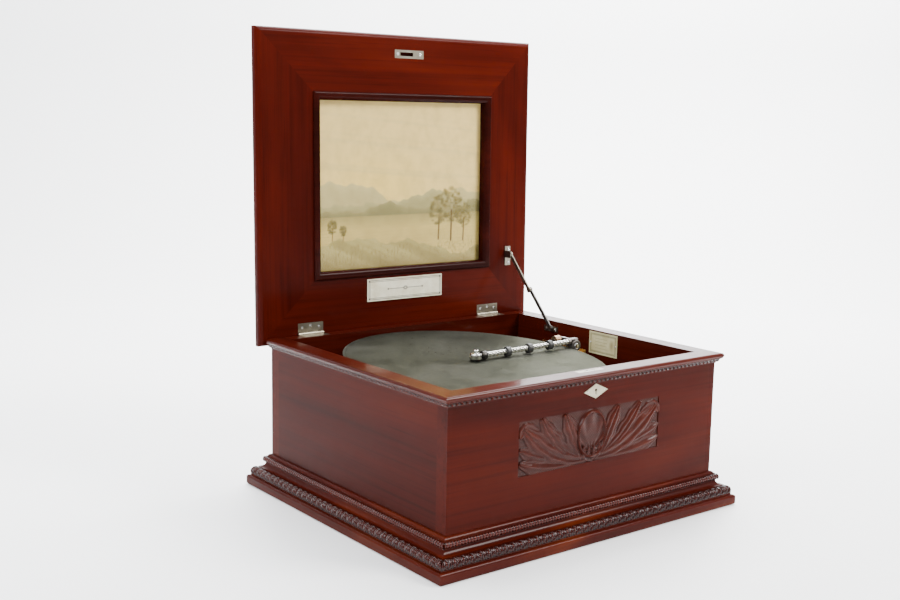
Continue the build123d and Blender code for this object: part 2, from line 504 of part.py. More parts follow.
with BuildPart() as spindle:
    rod_z((DISC_X, 0), BED_TOP, BOSS_TOP, BOSS_R)
    rod_z((DISC_X, 0), BOSS_TOP, SPINDLE_TOP, SPINDLE_R)
save(spindle, "spindle")

POST, POST_W, POST_OVER, RAIL_W, RAIL_H, AXLE_R = 4.0, 8.0, 4.0, 10.0, 10.0, 1.5
GANTRY_NEAR, GANTRY_FAR = 6.0, 2.0
with BuildPart(BAR) as gantry:
    near, far = STAR_START - GANTRY_NEAR - POST, STAR_END + GANTRY_FAR + POST
    box(((near + far) / 2, 0, BED_TOP + RAIL_H / 2), (far - near, RAIL_W, RAIL_H))
    post_top = STAR_Z + POST_OVER
    for x in (near + POST / 2, far - POST / 2):
        box((x, 0, (BED_TOP + post_top) / 2), (POST, POST_W, post_top - BED_TOP))
    rod_x(near + POST, far - POST, (0, STAR_Z), AXLE_R)
save(gantry, "gantry")

STAR_POINTS, STAR_POINT_W, STAR_POINT_L, STAR_POINT_SHORT = 5, 2.6, 3.0, 0.5
with BuildPart(BAR) as star_wheels:
    for i in range(STARS):
        x = STAR_START + i * STAR_PITCH
        with BuildSketch(Plane(BAR.location * Plane.YZ.offset(x - STAR_T / 2).location)):
            with Locations((0, STAR_Z)):
                Circle(STAR_R - STAR_POINT_L)
                with PolarLocations(0, STAR_POINTS):
                    Rectangle(STAR_POINT_W, 2 * (STAR_R - STAR_POINT_SHORT))
                Circle(AXLE_R + RUN, mode=Mode.SUBTRACT)
        extrude(amount=STAR_T)
save(star_wheels, "star_wheels")

TOOTH_W, TOOTH_T, COMB_OVER, COMB_FOOT_IN = 2.4, 1.4, 8.0, 4.0
with BuildPart(BAR) as combs:
    for side in (-1, 1):
        middle = side * (COMB_ROOT + COMB_HEEL) / 2
        long = STAR_END - STAR_START + COMB_OVER
        box((STAR_MID, middle, COMB_Z + COMB_T / 2), (long, COMB_HEEL - COMB_ROOT, COMB_T))
        foot = (long, COMB_HEEL - COMB_ROOT - COMB_FOOT_IN, COMB_Z - BED_TOP)
        box((STAR_MID, middle, (BED_TOP + COMB_Z) / 2), foot)
        for i in range(STARS):
            tooth = (TOOTH_W, COMB_ROOT - COMB_TIP, TOOTH_T)
            x = STAR_START + i * STAR_PITCH
            box((x, side * (COMB_TIP + COMB_ROOT) / 2, COMB_Z + COMB_T - TOOTH_T / 2), tooth)
save(combs, "combs")

with BuildPart(DISC) as tune_disc:
    with BuildSketch(Plane(DISC.location * Plane.XZ.location)):
        Polygon((DISC_HOLE, -DISC_T), (DISC_R, DISH - DISC_T), (DISC_R, DISH), (DISC_HOLE, 0), align=None)
    revolve(axis=Axis(DISC.origin, DISC.z_dir))
    with Locations((0, 0, DISH * DRIVE_R / DISC_R)):
        with PolarLocations(DRIVE_R, DRIVE_HOLES):
            Cylinder(HOLE_R, HOLE_CUT, mode=Mode.SUBTRACT)
save(tune_disc, "tune_disc")

# ---------------------------------------------------------------- pressure bar
RING_Z, RING_T, RING_R, RING_PLAY, NECK_W, NECK_X = 210.8, 1.4, 8.0, 0.3, 8.0, 4.0
BLOCK_TOP, BLOCK_W, PIN_UP, KNOB_PIN_R, KNOB_PLAY, JOURNAL_R = 223.0, 10.0, 0.5, 1.2, 0.4, 2.5
TAIL_Y, TAIL_W, TAIL_Z, TAIL_H, TAIL_CUT = 3.0, 10.0, 212.8, 16.4, 12.0
BLOCK_X0, BLOCK_X1, TAIL_X0, TAIL_X1 = 11.0, 21.0, 198.0, 217.0
with BuildPart(BAR) as pressure_bar:
    rod_z((0, 0), RING_Z, RING_Z + RING_T, RING_R)
    box(((BLOCK_X0 + NECK_X) / 2, 0, RING_Z + RING_T / 2), (BLOCK_X0 - NECK_X, NECK_W, RING_T))
    rod_z((0, 0), RING_Z - OVER, RING_Z + RING_T + OVER, SPINDLE_R + RING_PLAY, Mode.SUBTRACT)
    block = (BLOCK_X1 - BLOCK_X0, BLOCK_W, BLOCK_TOP - RING_Z)
    box(((BLOCK_X0 + BLOCK_X1) / 2, 0, (RING_Z + BLOCK_TOP) / 2), block)
    rod_x(KNOB_R + KNOB_PLAY, BLOCK_X0, (0, ROD_Z + PIN_UP), KNOB_PIN_R)
    rod_x(BLOCK_X1, TAIL_X0, (0, ROD_Z), ROD_R)
    box(((TAIL_X0 + TAIL_X1) / 2, TAIL_Y, TAIL_Z), (TAIL_X1 - TAIL_X0, TAIL_W, TAIL_H))
    with Locations(Location((PIVOT_R, TAIL_Y, PIVOT_Z), (90, 0, 0))):
        Cylinder(SCREW_SHANK + RUN, TAIL_CUT, mode=Mode.SUBTRACT)
    for x in ROLLERS:
        with Locations(Location((x, 0, ROD_Z), (0, 90, 0))):
            Cylinder(ROD_R + OVER, ROLLER_T + OVER, mode=Mode.SUBTRACT)
            Cylinder(JOURNAL_R, ROLLER_T + OVER)
save(pressure_bar, "pressure_bar")

for number, x in enumerate(ROLLERS, 1):
    with BuildPart(BAR) as roller:
        rod_x(x - ROLLER_T / 2, x + ROLLER_T / 2, (0, ROD_Z), ROLLER_R)
        rod_x(x - ROLLER_T, x + ROLLER_T, (0, ROD_Z), JOURNAL_R + RUN, Mode.SUBTRACT)
    save(roller, f"bar_roller_{number}")

KNOB_STEM_UP, KNOB_STEM_OVER, KNOB_TIP, KNOB_ROUND = 0.9, 0.2, 5.6, 0.8
with BuildPart() as clamp_knob:
    rod_z((DISC_X, 0), RING_Z + KNOB_STEM_UP, KNOB_Z, SPINDLE_R + KNOB_STEM_OVER)
    rod_z((DISC_X, 0), KNOB_Z, KNOB_TOP, KNOB_R)
    rod_z((DISC_X, 0), KNOB_TOP, KNOB_TOP + KNOB_TIP, KNOB_NECK)
    edges = clamp_knob.edges().filter_by(GeomType.CIRCLE).group_by(Axis.Z)[-2:]
    fillet(edges[0] + edges[1], KNOB_ROUND)
save(clamp_knob, "clamp_knob")

CHEEK_Y0, CHEEK_Y1, COLUMN_TOP, CHEEK_TOP = 8.3, 10.4, 199.0, 220.0
ARM_X0, ARM_X1, ARM_Z, ARM_H, STUD_Y, EDGE_STUD_R, EDGE_STUD_OUT = 174.0, 180.0, 213.5, 7.0, 9.2, 1.8, 1.5
PED_X, PED_Y, PED_SIZE = 208.0, -3.5, (36.0, 15.0, 6.0)
COLUMN_Y, COLUMN_W, COLUMN_D, CHEEK_FOOT, CHEEK_Y, CHEEK_CUT = 4.3, 15.0, 12.2, 4.0, 9.0, 6.0
ARM_END = 25.0
with BuildPart(BAR) as bar_pedestal:
    box((PED_X, PED_Y, BED_TOP + PED_SIZE[2] / 2), PED_SIZE)
    box((PIVOT_R, COLUMN_Y, (BED_TOP + COLUMN_TOP) / 2), (COLUMN_W, COLUMN_D, COLUMN_TOP - BED_TOP))
    cheek = (COLUMN_W, CHEEK_Y1 - CHEEK_Y0, CHEEK_TOP - COLUMN_TOP + CHEEK_FOOT)
    box((PIVOT_R, (CHEEK_Y0 + CHEEK_Y1) / 2, CHEEK_TOP - cheek[2] / 2), cheek)
    with Locations(Location((PIVOT_R, CHEEK_Y, PIVOT_Z), (90, 0, 0))):
        Cylinder(SCREW_SHANK + RUN, CHEEK_CUT, mode=Mode.SUBTRACT)
    arm = ((ARM_X0 + ARM_X1) / 2 - DISC_X, (CHEEK_Y1 + ARM_END) / 2, ARM_Z + ARM_H / 2)
    box(arm, (ARM_X1 - ARM_X0, ARM_END - CHEEK_Y1, ARM_H))
    stud = (EDGE_Y - STUD_Y, EDGE_Z)
    rod_x(EDGE_X0 - DISC_X - EDGE_STUD_OUT, ARM_X0 - DISC_X + OVER, stud, EDGE_STUD_R)
save(bar_pedestal, "bar_pedestal")

with BuildPart(BAR) as edge_roller:
    stud, bore = (EDGE_Y - STUD_Y, EDGE_Z), EDGE_STUD_R + RUN
    rod_x(EDGE_X0 - DISC_X, EDGE_X1 - DISC_X, stud, EDGE_R)
    rod_x(EDGE_X0 - DISC_X - OVER, EDGE_X1 - DISC_X + OVER, stud, bore, Mode.SUBTRACT)
save(edge_roller, "edge_roller")

WHEEL_Y0, WHEEL_Y1, CAP_Y, CAP_R = -5.8, -2.3, -7.0, 4.0
STEPS = ((WHEEL_Y1, CHEEK_Y1, SCREW_SHANK), (WHEEL_Y0, WHEEL_Y1, WHEEL_R), (CAP_Y, WHEEL_Y0, CAP_R))
with BuildPart(BAR) as pivot_screw:
    for y0, y1, radius in STEPS:
        with Locations(Location((PIVOT_R, (y0 + y1) / 2, PIVOT_Z), (90, 0, 0))):
            Cylinder(radius, y1 - y0)
save(pivot_screw, "pivot_screw")


# ---------------------------------------------------------------- spring motor and governor
TOOTH_SINK, GEAR_TOOTH_H, SPROCKET_TOOTH_H = 0.3, 1.6, 3.0


def toothed(x0, x1, at, teeth, pitch_radius, depth=GEAR_TOOTH_H):
    """A spur wheel on a shaft along X, its teeth ending just short of the pitch circle."""
    tip = pitch_radius - TOOTH_GAP
    with BuildSketch(Plane.YZ.offset(x0)) as wheel:
        with Locations(at):
            Circle(tip - depth)
            with PolarLocations(tip - depth / 2 - TOOTH_SINK, teeth):
                Rectangle(depth + 2 * TOOTH_SINK, pi * pitch_radius / teeth)
    extrude(wheel.sketch, amount=x1 - x0)


# Teeth and pitch radius of each wheel; the pinions run with the barrel's wheel
DRIVE_TEETH, DRIVE_PITCH, DRIVE_X0, DRIVE_X1, DRIVE_END = 24, 19.1, 160.6, 163.6, 157.0
DRIVE_PINION, BARREL_WHEEL, SECOND_WHEEL, SECOND_PINION = (16, 8.0), (96, 48.0), (60, 30.0), (12, 6.0)
SECOND_X0, SECOND_X1, HUB_R, PILLAR_R = 173.5, 176.5, 12.0, 4.0
with BuildPart() as drive_sprocket:
    toothed(DRIVE_X0, DRIVE_X1, SPROCKET, DRIVE_TEETH, DRIVE_PITCH, depth=SPROCKET_TOOTH_H)
    toothed(GEAR_X, GEAR_X + GEAR_T, SPROCKET, *DRIVE_PINION)
    rod_x(DRIVE_END, PLATE_B + MOTOR_T + 2 * OVER, SPROCKET, SHAFT_R)
save(drive_sprocket, "drive_sprocket")

with BuildPart() as spring_barrel:
    toothed(GEAR_X, GEAR_X + GEAR_T, BARREL, *BARREL_WHEEL)
    rod_x(GEAR_X + GEAR_T, DRUM_X0, BARREL, HUB_R)
    rod_x(DRUM_X0, DRUM_X1, BARREL, DRUM_R)
    rod_x(DRUM_X0 + DRUM_WALL, DRUM_X1 - DRUM_WALL, BARREL, DRUM_R - DRUM_WALL, Mode.SUBTRACT)
    rod_x(GEAR_X - OVER, DRUM_X1 + OVER, BARREL, ARBOR_R + RUN, Mode.SUBTRACT)
save(spring_barrel, "spring_barrel")

with BuildPart() as second_wheel:
    toothed(SECOND_X0, SECOND_X1, SECOND, *SECOND_WHEEL)
    toothed(GEAR_X, GEAR_X + GEAR_T, SECOND, *SECOND_PINION)
    rod_x(PLATE_A - OVER, PLATE_B + MOTOR_T + OVER, SECOND, SHAFT_R)
save(second_wheel, "second_wheel")

FLY_T, FLY_HUB_R, WORM_Z0, WORM_Z1, STAFF_Z0, STAFF_Z1 = 1.2, 4.0, 110.0, 130.0, 65.0, 137.0
with BuildPart() as governor_fly:
    rod_z((GOV_X, GOV_Y), STAFF_Z0, STAFF_Z1, GOV_R)
    rod_z((GOV_X, GOV_Y), WORM_Z0, WORM_Z1, FLY_HUB_R)
    rod_z((GOV_X, GOV_Y), FLY_Z, FLY_Z + FLY_H, FLY_HUB_R)
    box((GOV_X, GOV_Y, FLY_Z + FLY_H / 2), (2 * FLY_HALF, FLY_T, FLY_H))
save(governor_fly, "governor_fly")

COCK_X, COCK_T, COCK_W, COCK_FOOT, COCK_ARMS = 196.5, 3.0, 10.0, 64.0, (66.0, 136.0)
COCK_ARM_X0, COCK_ARM_X1, COCK_ARM_T, COCK_BORE = 171.0, 195.0, 4.0, (60.0, 140.0)
with BuildPart() as governor_cock:
    box((COCK_X, GOV_Y, (COCK_FOOT + BED_Z) / 2), (COCK_T, COCK_W, BED_Z - COCK_FOOT))
    for z in COCK_ARMS:
        arm = (COCK_ARM_X1 - COCK_ARM_X0, COCK_W, COCK_ARM_T)
        box(((COCK_ARM_X0 + COCK_ARM_X1) / 2, GOV_Y, z), arm)
    rod_z((GOV_X, GOV_Y), *COCK_BORE, GOV_R + RUN, Mode.SUBTRACT)
save(governor_cock, "governor_cock")

with BuildPart() as motor_plates:
    middle = ((PLATE_Y0 + PLATE_Y1) / 2, (PLATE_Z0 + PLATE_Z1) / 2)
    for x in (PLATE_A, PLATE_B):
        box((x + MOTOR_T / 2, *middle), (MOTOR_T, PLATE_Y1 - PLATE_Y0, PLATE_Z1 - PLATE_Z0))
    for at, radius in ((SPROCKET, SHAFT_R), (SECOND, SHAFT_R), (BARREL, ARBOR_R)):
        rod_x(PLATE_A - OVER, PLATE_B + MOTOR_T + OVER, at, radius + RUN, Mode.SUBTRACT)
save(motor_plates, "motor_plates")

with BuildPart() as motor_pillars:
    for at in PILLARS:
        rod_x(PLATE_A + MOTOR_T, PLATE_B, at, PILLAR_R)
save(motor_pillars, "motor_pillars")

BUSH_IN, FLANGE_T, FLANGE_R = 2.0, 2.5, 15.0
with BuildPart() as crank_bush:
    rod_x(IN_W - BUSH_IN, HALF_W, BARREL, BUSH_R - RUN)
    rod_x(HALF_W, HALF_W + FLANGE_T, BARREL, FLANGE_R)
    rod_x(IN_W - BUSH_IN - OVER, HALF_W + FLANGE_T + OVER, BARREL, ARBOR_R + RUN, Mode.SUBTRACT)
save(crank_bush, "crank_bush")

HANDLE_AT = (BARREL[0], BARREL[1] - CRANK_L)
ARBOR_OUT, CRANK_W, CRANK_T, CRANK_EYE_R, HANDLE_PIN_R, HANDLE_CAP = 2.0, 15.0, 5.0, 10.0, 3.0, 3.0
with BuildPart() as winding_crank:
    rod_x(PLATE_A - ARBOR_OUT, CRANK_X, BARREL, ARBOR_R)
    with BuildSketch(Plane.YZ.offset(CRANK_X)):
        with Locations((BARREL[0], BARREL[1] - CRANK_L / 2)):
            SlotCenterToCenter(CRANK_L, CRANK_W, rotation=90)
        with Locations(BARREL):
            Circle(CRANK_EYE_R)
    extrude(amount=CRANK_T)
    rod_x(CRANK_X + CRANK_T, CRANK_X + CRANK_T + HANDLE_CAP + HANDLE_L, HANDLE_AT, HANDLE_PIN_R)
save(winding_crank, "winding_crank")

GRIP_NEAR_R, GRIP_FAR_R, GRIP_BACK, GRIP_END_R = 5.5, 7.0, 4.0, 5.0
with BuildPart() as crank_handle:
    near = CRANK_X + CRANK_T + OVER
    far = near + HANDLE_L
    with BuildSketch(Plane(origin=(0, *HANDLE_AT))):
        grip = (near + HANDLE_L / 2, HANDLE_R, far - GRIP_BACK, GRIP_FAR_R)
        bore = HANDLE_PIN_R + RUN
        make_face(outline([(near, bore), (near, GRIP_NEAR_R), grip, (far, GRIP_END_R), (far, bore)]))
    revolve(axis=Axis((0, *HANDLE_AT), (1, 0, 0)))
save(crank_handle, "crank_handle")
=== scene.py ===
import math
import random

import bpy
import numpy as np
from mathutils import Matrix, Vector


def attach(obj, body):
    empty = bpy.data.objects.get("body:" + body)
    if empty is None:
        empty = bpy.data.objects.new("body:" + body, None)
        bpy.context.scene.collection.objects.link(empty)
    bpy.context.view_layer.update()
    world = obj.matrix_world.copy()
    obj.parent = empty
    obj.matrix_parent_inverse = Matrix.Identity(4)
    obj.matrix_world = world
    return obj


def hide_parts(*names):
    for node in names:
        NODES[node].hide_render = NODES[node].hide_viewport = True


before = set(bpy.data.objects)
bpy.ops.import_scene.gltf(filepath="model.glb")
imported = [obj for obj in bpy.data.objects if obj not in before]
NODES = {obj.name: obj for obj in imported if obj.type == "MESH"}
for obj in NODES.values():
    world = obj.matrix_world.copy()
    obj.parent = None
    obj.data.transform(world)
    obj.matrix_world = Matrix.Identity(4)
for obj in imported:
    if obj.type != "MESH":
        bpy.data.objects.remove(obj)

MM = 0.001
DISC_R, DISC_T, DISC_DISH, DRIVE_R, DRIVE_HOLES, DRIVE_HOLE_R = 196.85, 0.8, 3.0, 192.5, 240, 1.25
ROD_Z, ROD_X0, ROD_X1, ROLLERS, NECK_R, NECK_HALF = 216.6, 21.0, 198.0, (64.0, 109.0, 153.0), 2.4, 4.0
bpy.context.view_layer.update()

# ---------------------------------------------------------------- the part's own planes, in millimetres
LEAN = math.radians(0.8)
LID = Matrix(((1, 0, 0, 0), (0, math.sin(LEAN), -math.cos(LEAN), 225.0),
              (0, math.cos(LEAN), math.sin(LEAN), 230.3), (0, 0, 0, 1)))
TURN = math.radians(2.7)
BAR = Matrix(((math.cos(TURN), -math.sin(TURN), 0, -28.0), (math.sin(TURN), math.cos(TURN), 0, 0),
              (0, 0, 1, 0), (0, 0, 0, 1)))


def disc_plane():
    z = Vector((0.028, -0.050, 1)).normalized()
    x = Vector((1, 0, -0.028)).normalized()
    y = z.cross(x)
    return Matrix(((x.x, y.x, z.x, -28.0), (x.y, y.y, z.y, 0), (x.z, y.z, z.z, 209.5), (0, 0, 0, 1)))


DISC = disc_plane()


# ---------------------------------------------------------------- materials
def shader(name):
    mat = bpy.data.materials.new(name)
    mat.use_nodes = True
    tree = mat.node_tree
    tree.nodes.clear()
    out = tree.nodes.new("ShaderNodeOutputMaterial")
    bsdf = tree.nodes.new("ShaderNodeBsdfPrincipled")
    tree.links.new(bsdf.outputs[0], out.inputs[0])
    return mat, tree, bsdf


def node(tree, kind, inputs=None, **props):
    made = tree.nodes.new(kind)
    for key, value in props.items():
        setattr(made, key, value)
    for key, value in (inputs or {}).items():
        plug(tree, made.inputs[key], value)
    return made


def plug(tree, socket, value):
    if isinstance(value, bpy.types.NodeSocket):
        tree.links.new(value, socket)
    else:
        socket.default_value = value


def noise(tree, scale, stretch=(1, 1, 1), detail=4.0, rough=0.55, shift=(0, 0, 0), warp=0.0):
    coord = node(tree, "ShaderNodeTexCoord")
    place = node(tree, "ShaderNodeMapping",
                 {"Vector": coord.outputs["Object"], "Scale": stretch, "Location": shift})
    made = node(tree, "ShaderNodeTexNoise", {"Vector": place.outputs[0], "Scale": scale, "Detail": detail,
                                            "Roughness": rough, "Distortion": warp})
    return made.outputs["Fac"]


def ramp(tree, fac, stops):
    made = node(tree, "ShaderNodeValToRGB", {"Fac": fac})
    band = made.color_ramp
    while len(band.elements) < len(stops):
        band.elements.new(0.5)
    for element, (at, color) in zip(band.elements, stops):
        element.position = at
        element.color = (*color, 1) if len(color) == 3 else color
    return made.outputs[0]


def mix(tree, fac, a, b, blend="MIX"):
    made = node(tree, "ShaderNodeMix", data_type="RGBA", blend_type=blend)
    for key, value in (("Factor", fac), ("A", a), ("B", b)):
        sockets = [s for s in made.inputs
                   if s.name == key and (key == "Factor") == (s.type == "VALUE") and s.enabled]
        plug(tree, sockets[0], (*value, 1) if isinstance(value, tuple) and len(value) == 3 else value)
    return [s for s in made.outputs if s.type == "RGBA" and s.enabled][0]


def span(tree, fac, low, high, start=0.0, end=1.0):
    made = node(tree, "ShaderNodeMapRange", {"Value": fac, "From Min": start, "From Max": end,
                                             "To Min": low, "To Max": high})
    return made.outputs[0]


def bump(tree, bsdf, height, strength, distance):
    made = node(tree, "ShaderNodeBump", {"Height": height, "Strength": strength, "Distance": distance})
    tree.links.new(made.outputs[0], bsdf.inputs["Normal"])


def wood(name, dark, mid, light, grain="x", gloss=0.14, coat=0.03, level=0.03, shift=0.0, painted_shade_and_highlight=False):
    """Polished timber: broad figure, fine grain lines and short dark pores along the grain."""
    mat, tree, bsdf = shader(name)
    axis = "xyz".index(grain)
    along = lambda a, b: tuple(a if i == axis else b for i in range(3))
    moved = (shift, shift * 1.7, shift * 0.6)
    figure = noise(tree, 5.0, along(0.35, 1.6), 3.0, 0.5, moved, 0.9)
    lines = noise(tree, 30.0, along(0.06, 5.0), 5.0, 0.62, moved)
    pores = noise(tree, 160.0, along(0.06, 3.2), 2.0, 0.5, moved)
    base = ramp(tree, figure, [(0.22, dark), (0.50, mid), (0.82, light)])
    fine = ramp(tree, lines, [(0.3, (0.62, 0.60, 0.58)), (0.5, (1, 1, 1)), (0.75, (1.25, 1.2, 1.1))])
    base = mix(tree, 0.75, base, fine, "MULTIPLY")
    speck = ramp(tree, pores, [(0.60, (1, 1, 1)), (0.72, (0.55, 0.5, 0.5))])
    base = mix(tree, 0.6, base, speck, "MULTIPLY")
    # Painted shade and highlight: the vertex colour darkens the low carved ground and lightens the raised
    # relief.
    if painted_shade_and_highlight:
        ink_and_painted_light = node(tree, "ShaderNodeVertexColor", layer_name="ink_and_painted_light")
        base = mix(tree, 1.0, base, ink_and_painted_light.outputs["Color"], "MULTIPLY")
    plug(tree, bsdf.inputs["Base Color"], base)
    smudge = noise(tree, 9.0, (1, 1, 1), 3.0, 0.6, moved)
    plug(tree, bsdf.inputs["Roughness"], span(tree, smudge, gloss * 1.6, gloss * 3.0))
    plug(tree, bsdf.inputs["Specular IOR Level"], level)
    plug(tree, bsdf.inputs["Coat Weight"], coat)
    plug(tree, bsdf.inputs["Coat Roughness"], span(tree, smudge, gloss * 0.35, gloss * 0.9))
    bump(tree, bsdf, pores, 0.12, 0.0003)
    return mat


def metal(name, color, rough=0.3, tarnish=(0.4, 0.32, 0.2), amount=0.3, scale=60.0, stretch=(1, 1, 1),
          depth=0.00006):
    mat, tree, bsdf = shader(name)
    cloud = noise(tree, scale * 0.4, (1, 1, 1), 5.0, 0.6)
    fine = noise(tree, scale * 6.0, stretch, 3.0, 0.6)
    spots = span(tree, cloud, 0.0, amount, 0.42, 0.75)
    plug(tree, bsdf.inputs["Base Color"], mix(tree, spots, color, tarnish))
    plug(tree, bsdf.inputs["Metallic"], 1.0)
    plug(tree, bsdf.inputs["Roughness"], span(tree, fine, rough * 0.75, rough * 1.35))
    bump(tree, bsdf, fine, 0.25, depth)
    return mat


def coating(name, color, rough=0.45, vary=0.25, scale=40.0, depth=0.0001, coat=0.0):
    mat, tree, bsdf = shader(name)
    cloud = noise(tree, scale, (1, 1, 1), 5.0, 0.6)
    other = tuple(c * (1 - vary) for c in color)
    plug(tree, bsdf.inputs["Base Color"], mix(tree, cloud, other, color))
    plug(tree, bsdf.inputs["Roughness"], span(tree, cloud, rough * 0.8, rough * 1.2))
    plug(tree, bsdf.inputs["Coat Weight"], coat)
    bump(tree, bsdf, cloud, 0.2, depth)
    return mat


def painted(name, rough=0.55, coat=0.1, speckle=0.12):
    """A printed surface whose colours are stored on the mesh, with paper tooth and faint foxing."""
    mat, tree, bsdf = shader(name)
    ink_and_painted_light = node(tree, "ShaderNodeVertexColor", layer_name="ink_and_painted_light")
    cloud = noise(tree, 45.0, (1, 1, 1), 6.0, 0.65)
    tone = ramp(tree, cloud, [(0.35, (1 - speckle, 1 - speckle * 1.2, 1 - speckle * 1.6)), (0.6, (1, 1, 1))])
    plug(tree, bsdf.inputs["Base Color"], mix(tree, 1.0, ink_and_painted_light.outputs["Color"], tone, "MULTIPLY"))
    plug(tree, bsdf.inputs["Roughness"], span(tree, cloud, rough * 0.9, rough * 1.1))
    plug(tree, bsdf.inputs["Coat Weight"], coat)
    bump(tree, bsdf, noise(tree, 900.0, (1, 1, 1), 2.0), 0.08, 0.00005)
    return mat


def disc_steel():
    mat, tree, bsdf = shader("disc_steel")
    cloud = noise(tree, 14.0, (1, 1, 1), 6.0, 0.62, warp=0.6)
    fine = noise(tree, 150.0, (1, 1, 1), 4.0, 0.6)
    base = ramp(tree, cloud, [(0.3, (0.066, 0.068, 0.055)), (0.5, (0.080, 0.082, 0.067)),
                              (0.75, (0.100, 0.100, 0.086))])
    grit = ramp(tree, fine, [(0.35, (0.86, 0.86, 0.86)), (0.6, (1.08, 1.08, 1.08))])
    plug(tree, bsdf.inputs["Base Color"], mix(tree, 0.8, base, grit, "MULTIPLY"))
    plug(tree, bsdf.inputs["Metallic"], 1.0)
    plug(tree, bsdf.inputs["Specular Tint"], (0.42, 0.42, 0.40, 1))
    plug(tree, bsdf.inputs["Roughness"], span(tree, cloud, 0.42, 0.50, 0.3, 0.7))
    bump(tree, bsdf, fine, 0.2, 0.0001)
    return mat


def glass():
    mat, tree, _ = shader("picture_glass_clear")
    clear = node(tree, "ShaderNodeBsdfTransparent")
    shine = node(tree, "ShaderNodeBsdfGlossy", {"Roughness": span(tree, noise(tree, 6.0), 0.03, 0.07)})
    edge = node(tree, "ShaderNodeFresnel", {"IOR": 1.18})
    both = node(tree, "ShaderNodeMixShader", {0: edge.outputs[0], 1: clear.outputs[0], 2: shine.outputs[0]})
    out = [n for n in tree.nodes if n.type == "OUTPUT_MATERIAL"][0]
    tree.links.new(both.outputs[0], out.inputs[0])
    return mat


DARK, MID, LIGHT = (0.020, 0.0016, 0.0006), (0.040, 0.0036, 0.0012), (0.064, 0.0074, 0.0020)
LID_DARK, LID_MID, LID_LIGHT = (0.024, 0.0016, 0.0006), (0.046, 0.0032, 0.0009), (0.076, 0.0064, 0.0014)
CASE_X = wood("case_wood_x", DARK, MID, LIGHT, "x", shift=0.3)
CASE_Y = wood("case_wood_y", DARK, MID, LIGHT, "y", shift=1.3)
LID_X = wood("lid_wood_x", LID_DARK, LID_MID, LID_LIGHT, "x", shift=3.1)
LID_Z = wood("lid_wood_z", LID_DARK, LID_MID, LID_LIGHT, "z", shift=4.7)
MOULD_X = wood("mould_wood_x", DARK, MID, (0.13, 0.022, 0.004), "x", coat=0.10, shift=5.2)
MOULD_Y = wood("mould_wood_y", DARK, MID, (0.13, 0.022, 0.004), "y", coat=0.10, shift=6.4)
RIM_X = wood("rim_wood_x", DARK, MID, LIGHT, "x", coat=0.25, shift=7.2)
RIM_Y = wood("rim_wood_y", DARK, MID, LIGHT, "y", coat=0.35, shift=8.4)
RELIEF_X = wood("relief_wood_x", DARK, MID, LIGHT, "x", gloss=0.10, coat=0.40, level=0.08,
                shift=5.2, painted_shade_and_highlight=True)
RELIEF_Y = wood("relief_wood_y", DARK, MID, LIGHT, "y", gloss=0.10, coat=0.40, level=0.08,
                shift=6.4, painted_shade_and_highlight=True)
FRAME = wood("picture_frame_wood", (0.009, 0.0015, 0.0008), (0.020, 0.0022, 0.0012),
             (0.036, 0.004, 0.002), "x", gloss=0.08)
CARVED = wood("carved_wood", (0.022, 0.0038, 0.0022), (0.040, 0.0066, 0.0034), (0.056, 0.0098, 0.0050), "x",
              gloss=0.13, coat=0.14, level=0.06, painted_shade_and_highlight=True)
PLAIN = wood("plain_wood", (0.16, 0.08, 0.04), (0.26, 0.15, 0.08), (0.34, 0.21, 0.12), "x", gloss=0.5, coat=0)
NICKEL = metal("pale_nickel_brass", (0.25, 0.23, 0.18), 0.34, (0.14, 0.10, 0.06), 0.75)
PLATE = metal("key_plate_metal", (0.38, 0.35, 0.26), 0.38, (0.22, 0.17, 0.10), 0.6)
STEEL = metal("turned_steel", (0.60, 0.60, 0.58), 0.26, (0.32, 0.29, 0.25), 0.4)
BRIGHT = metal("bright_nickel", (0.78, 0.77, 0.72), 0.16, (0.4, 0.36, 0.3), 0.35)
DULL = metal("dark_steel", (0.16, 0.15, 0.14), 0.4, (0.07, 0.05, 0.04), 0.6)
BLACKED = metal("blacked_steel", (0.06, 0.056, 0.052), 0.36, (0.03, 0.026, 0.022), 0.5)
BLUED = metal("comb_steel", (0.32, 0.34, 0.38), 0.3, (0.12, 0.12, 0.14), 0.4)
BRASS = metal("movement_brass", (0.62, 0.43, 0.17), 0.28, (0.3, 0.18, 0.07), 0.4)
BRONZE = metal("bronze_roller", (0.36, 0.22, 0.13), 0.35, (0.12, 0.07, 0.04), 0.6)
IRON = coating("black_japan", (0.020, 0.020, 0.022), 0.35, coat=0.4)
RUBBER = coating("black_rubber", (0.022, 0.021, 0.020), 0.5)
TURNED = wood("turned_handle", (0.03, 0.012, 0.006), (0.07, 0.025, 0.012), (0.1, 0.04, 0.02), "x", gloss=0.2)
PRINT = painted("printed_picture", 0.7, 0.0)
CARD = painted("printed_card", 0.5, 0.15, 0.2)
STEEL_DISC = disc_steel()

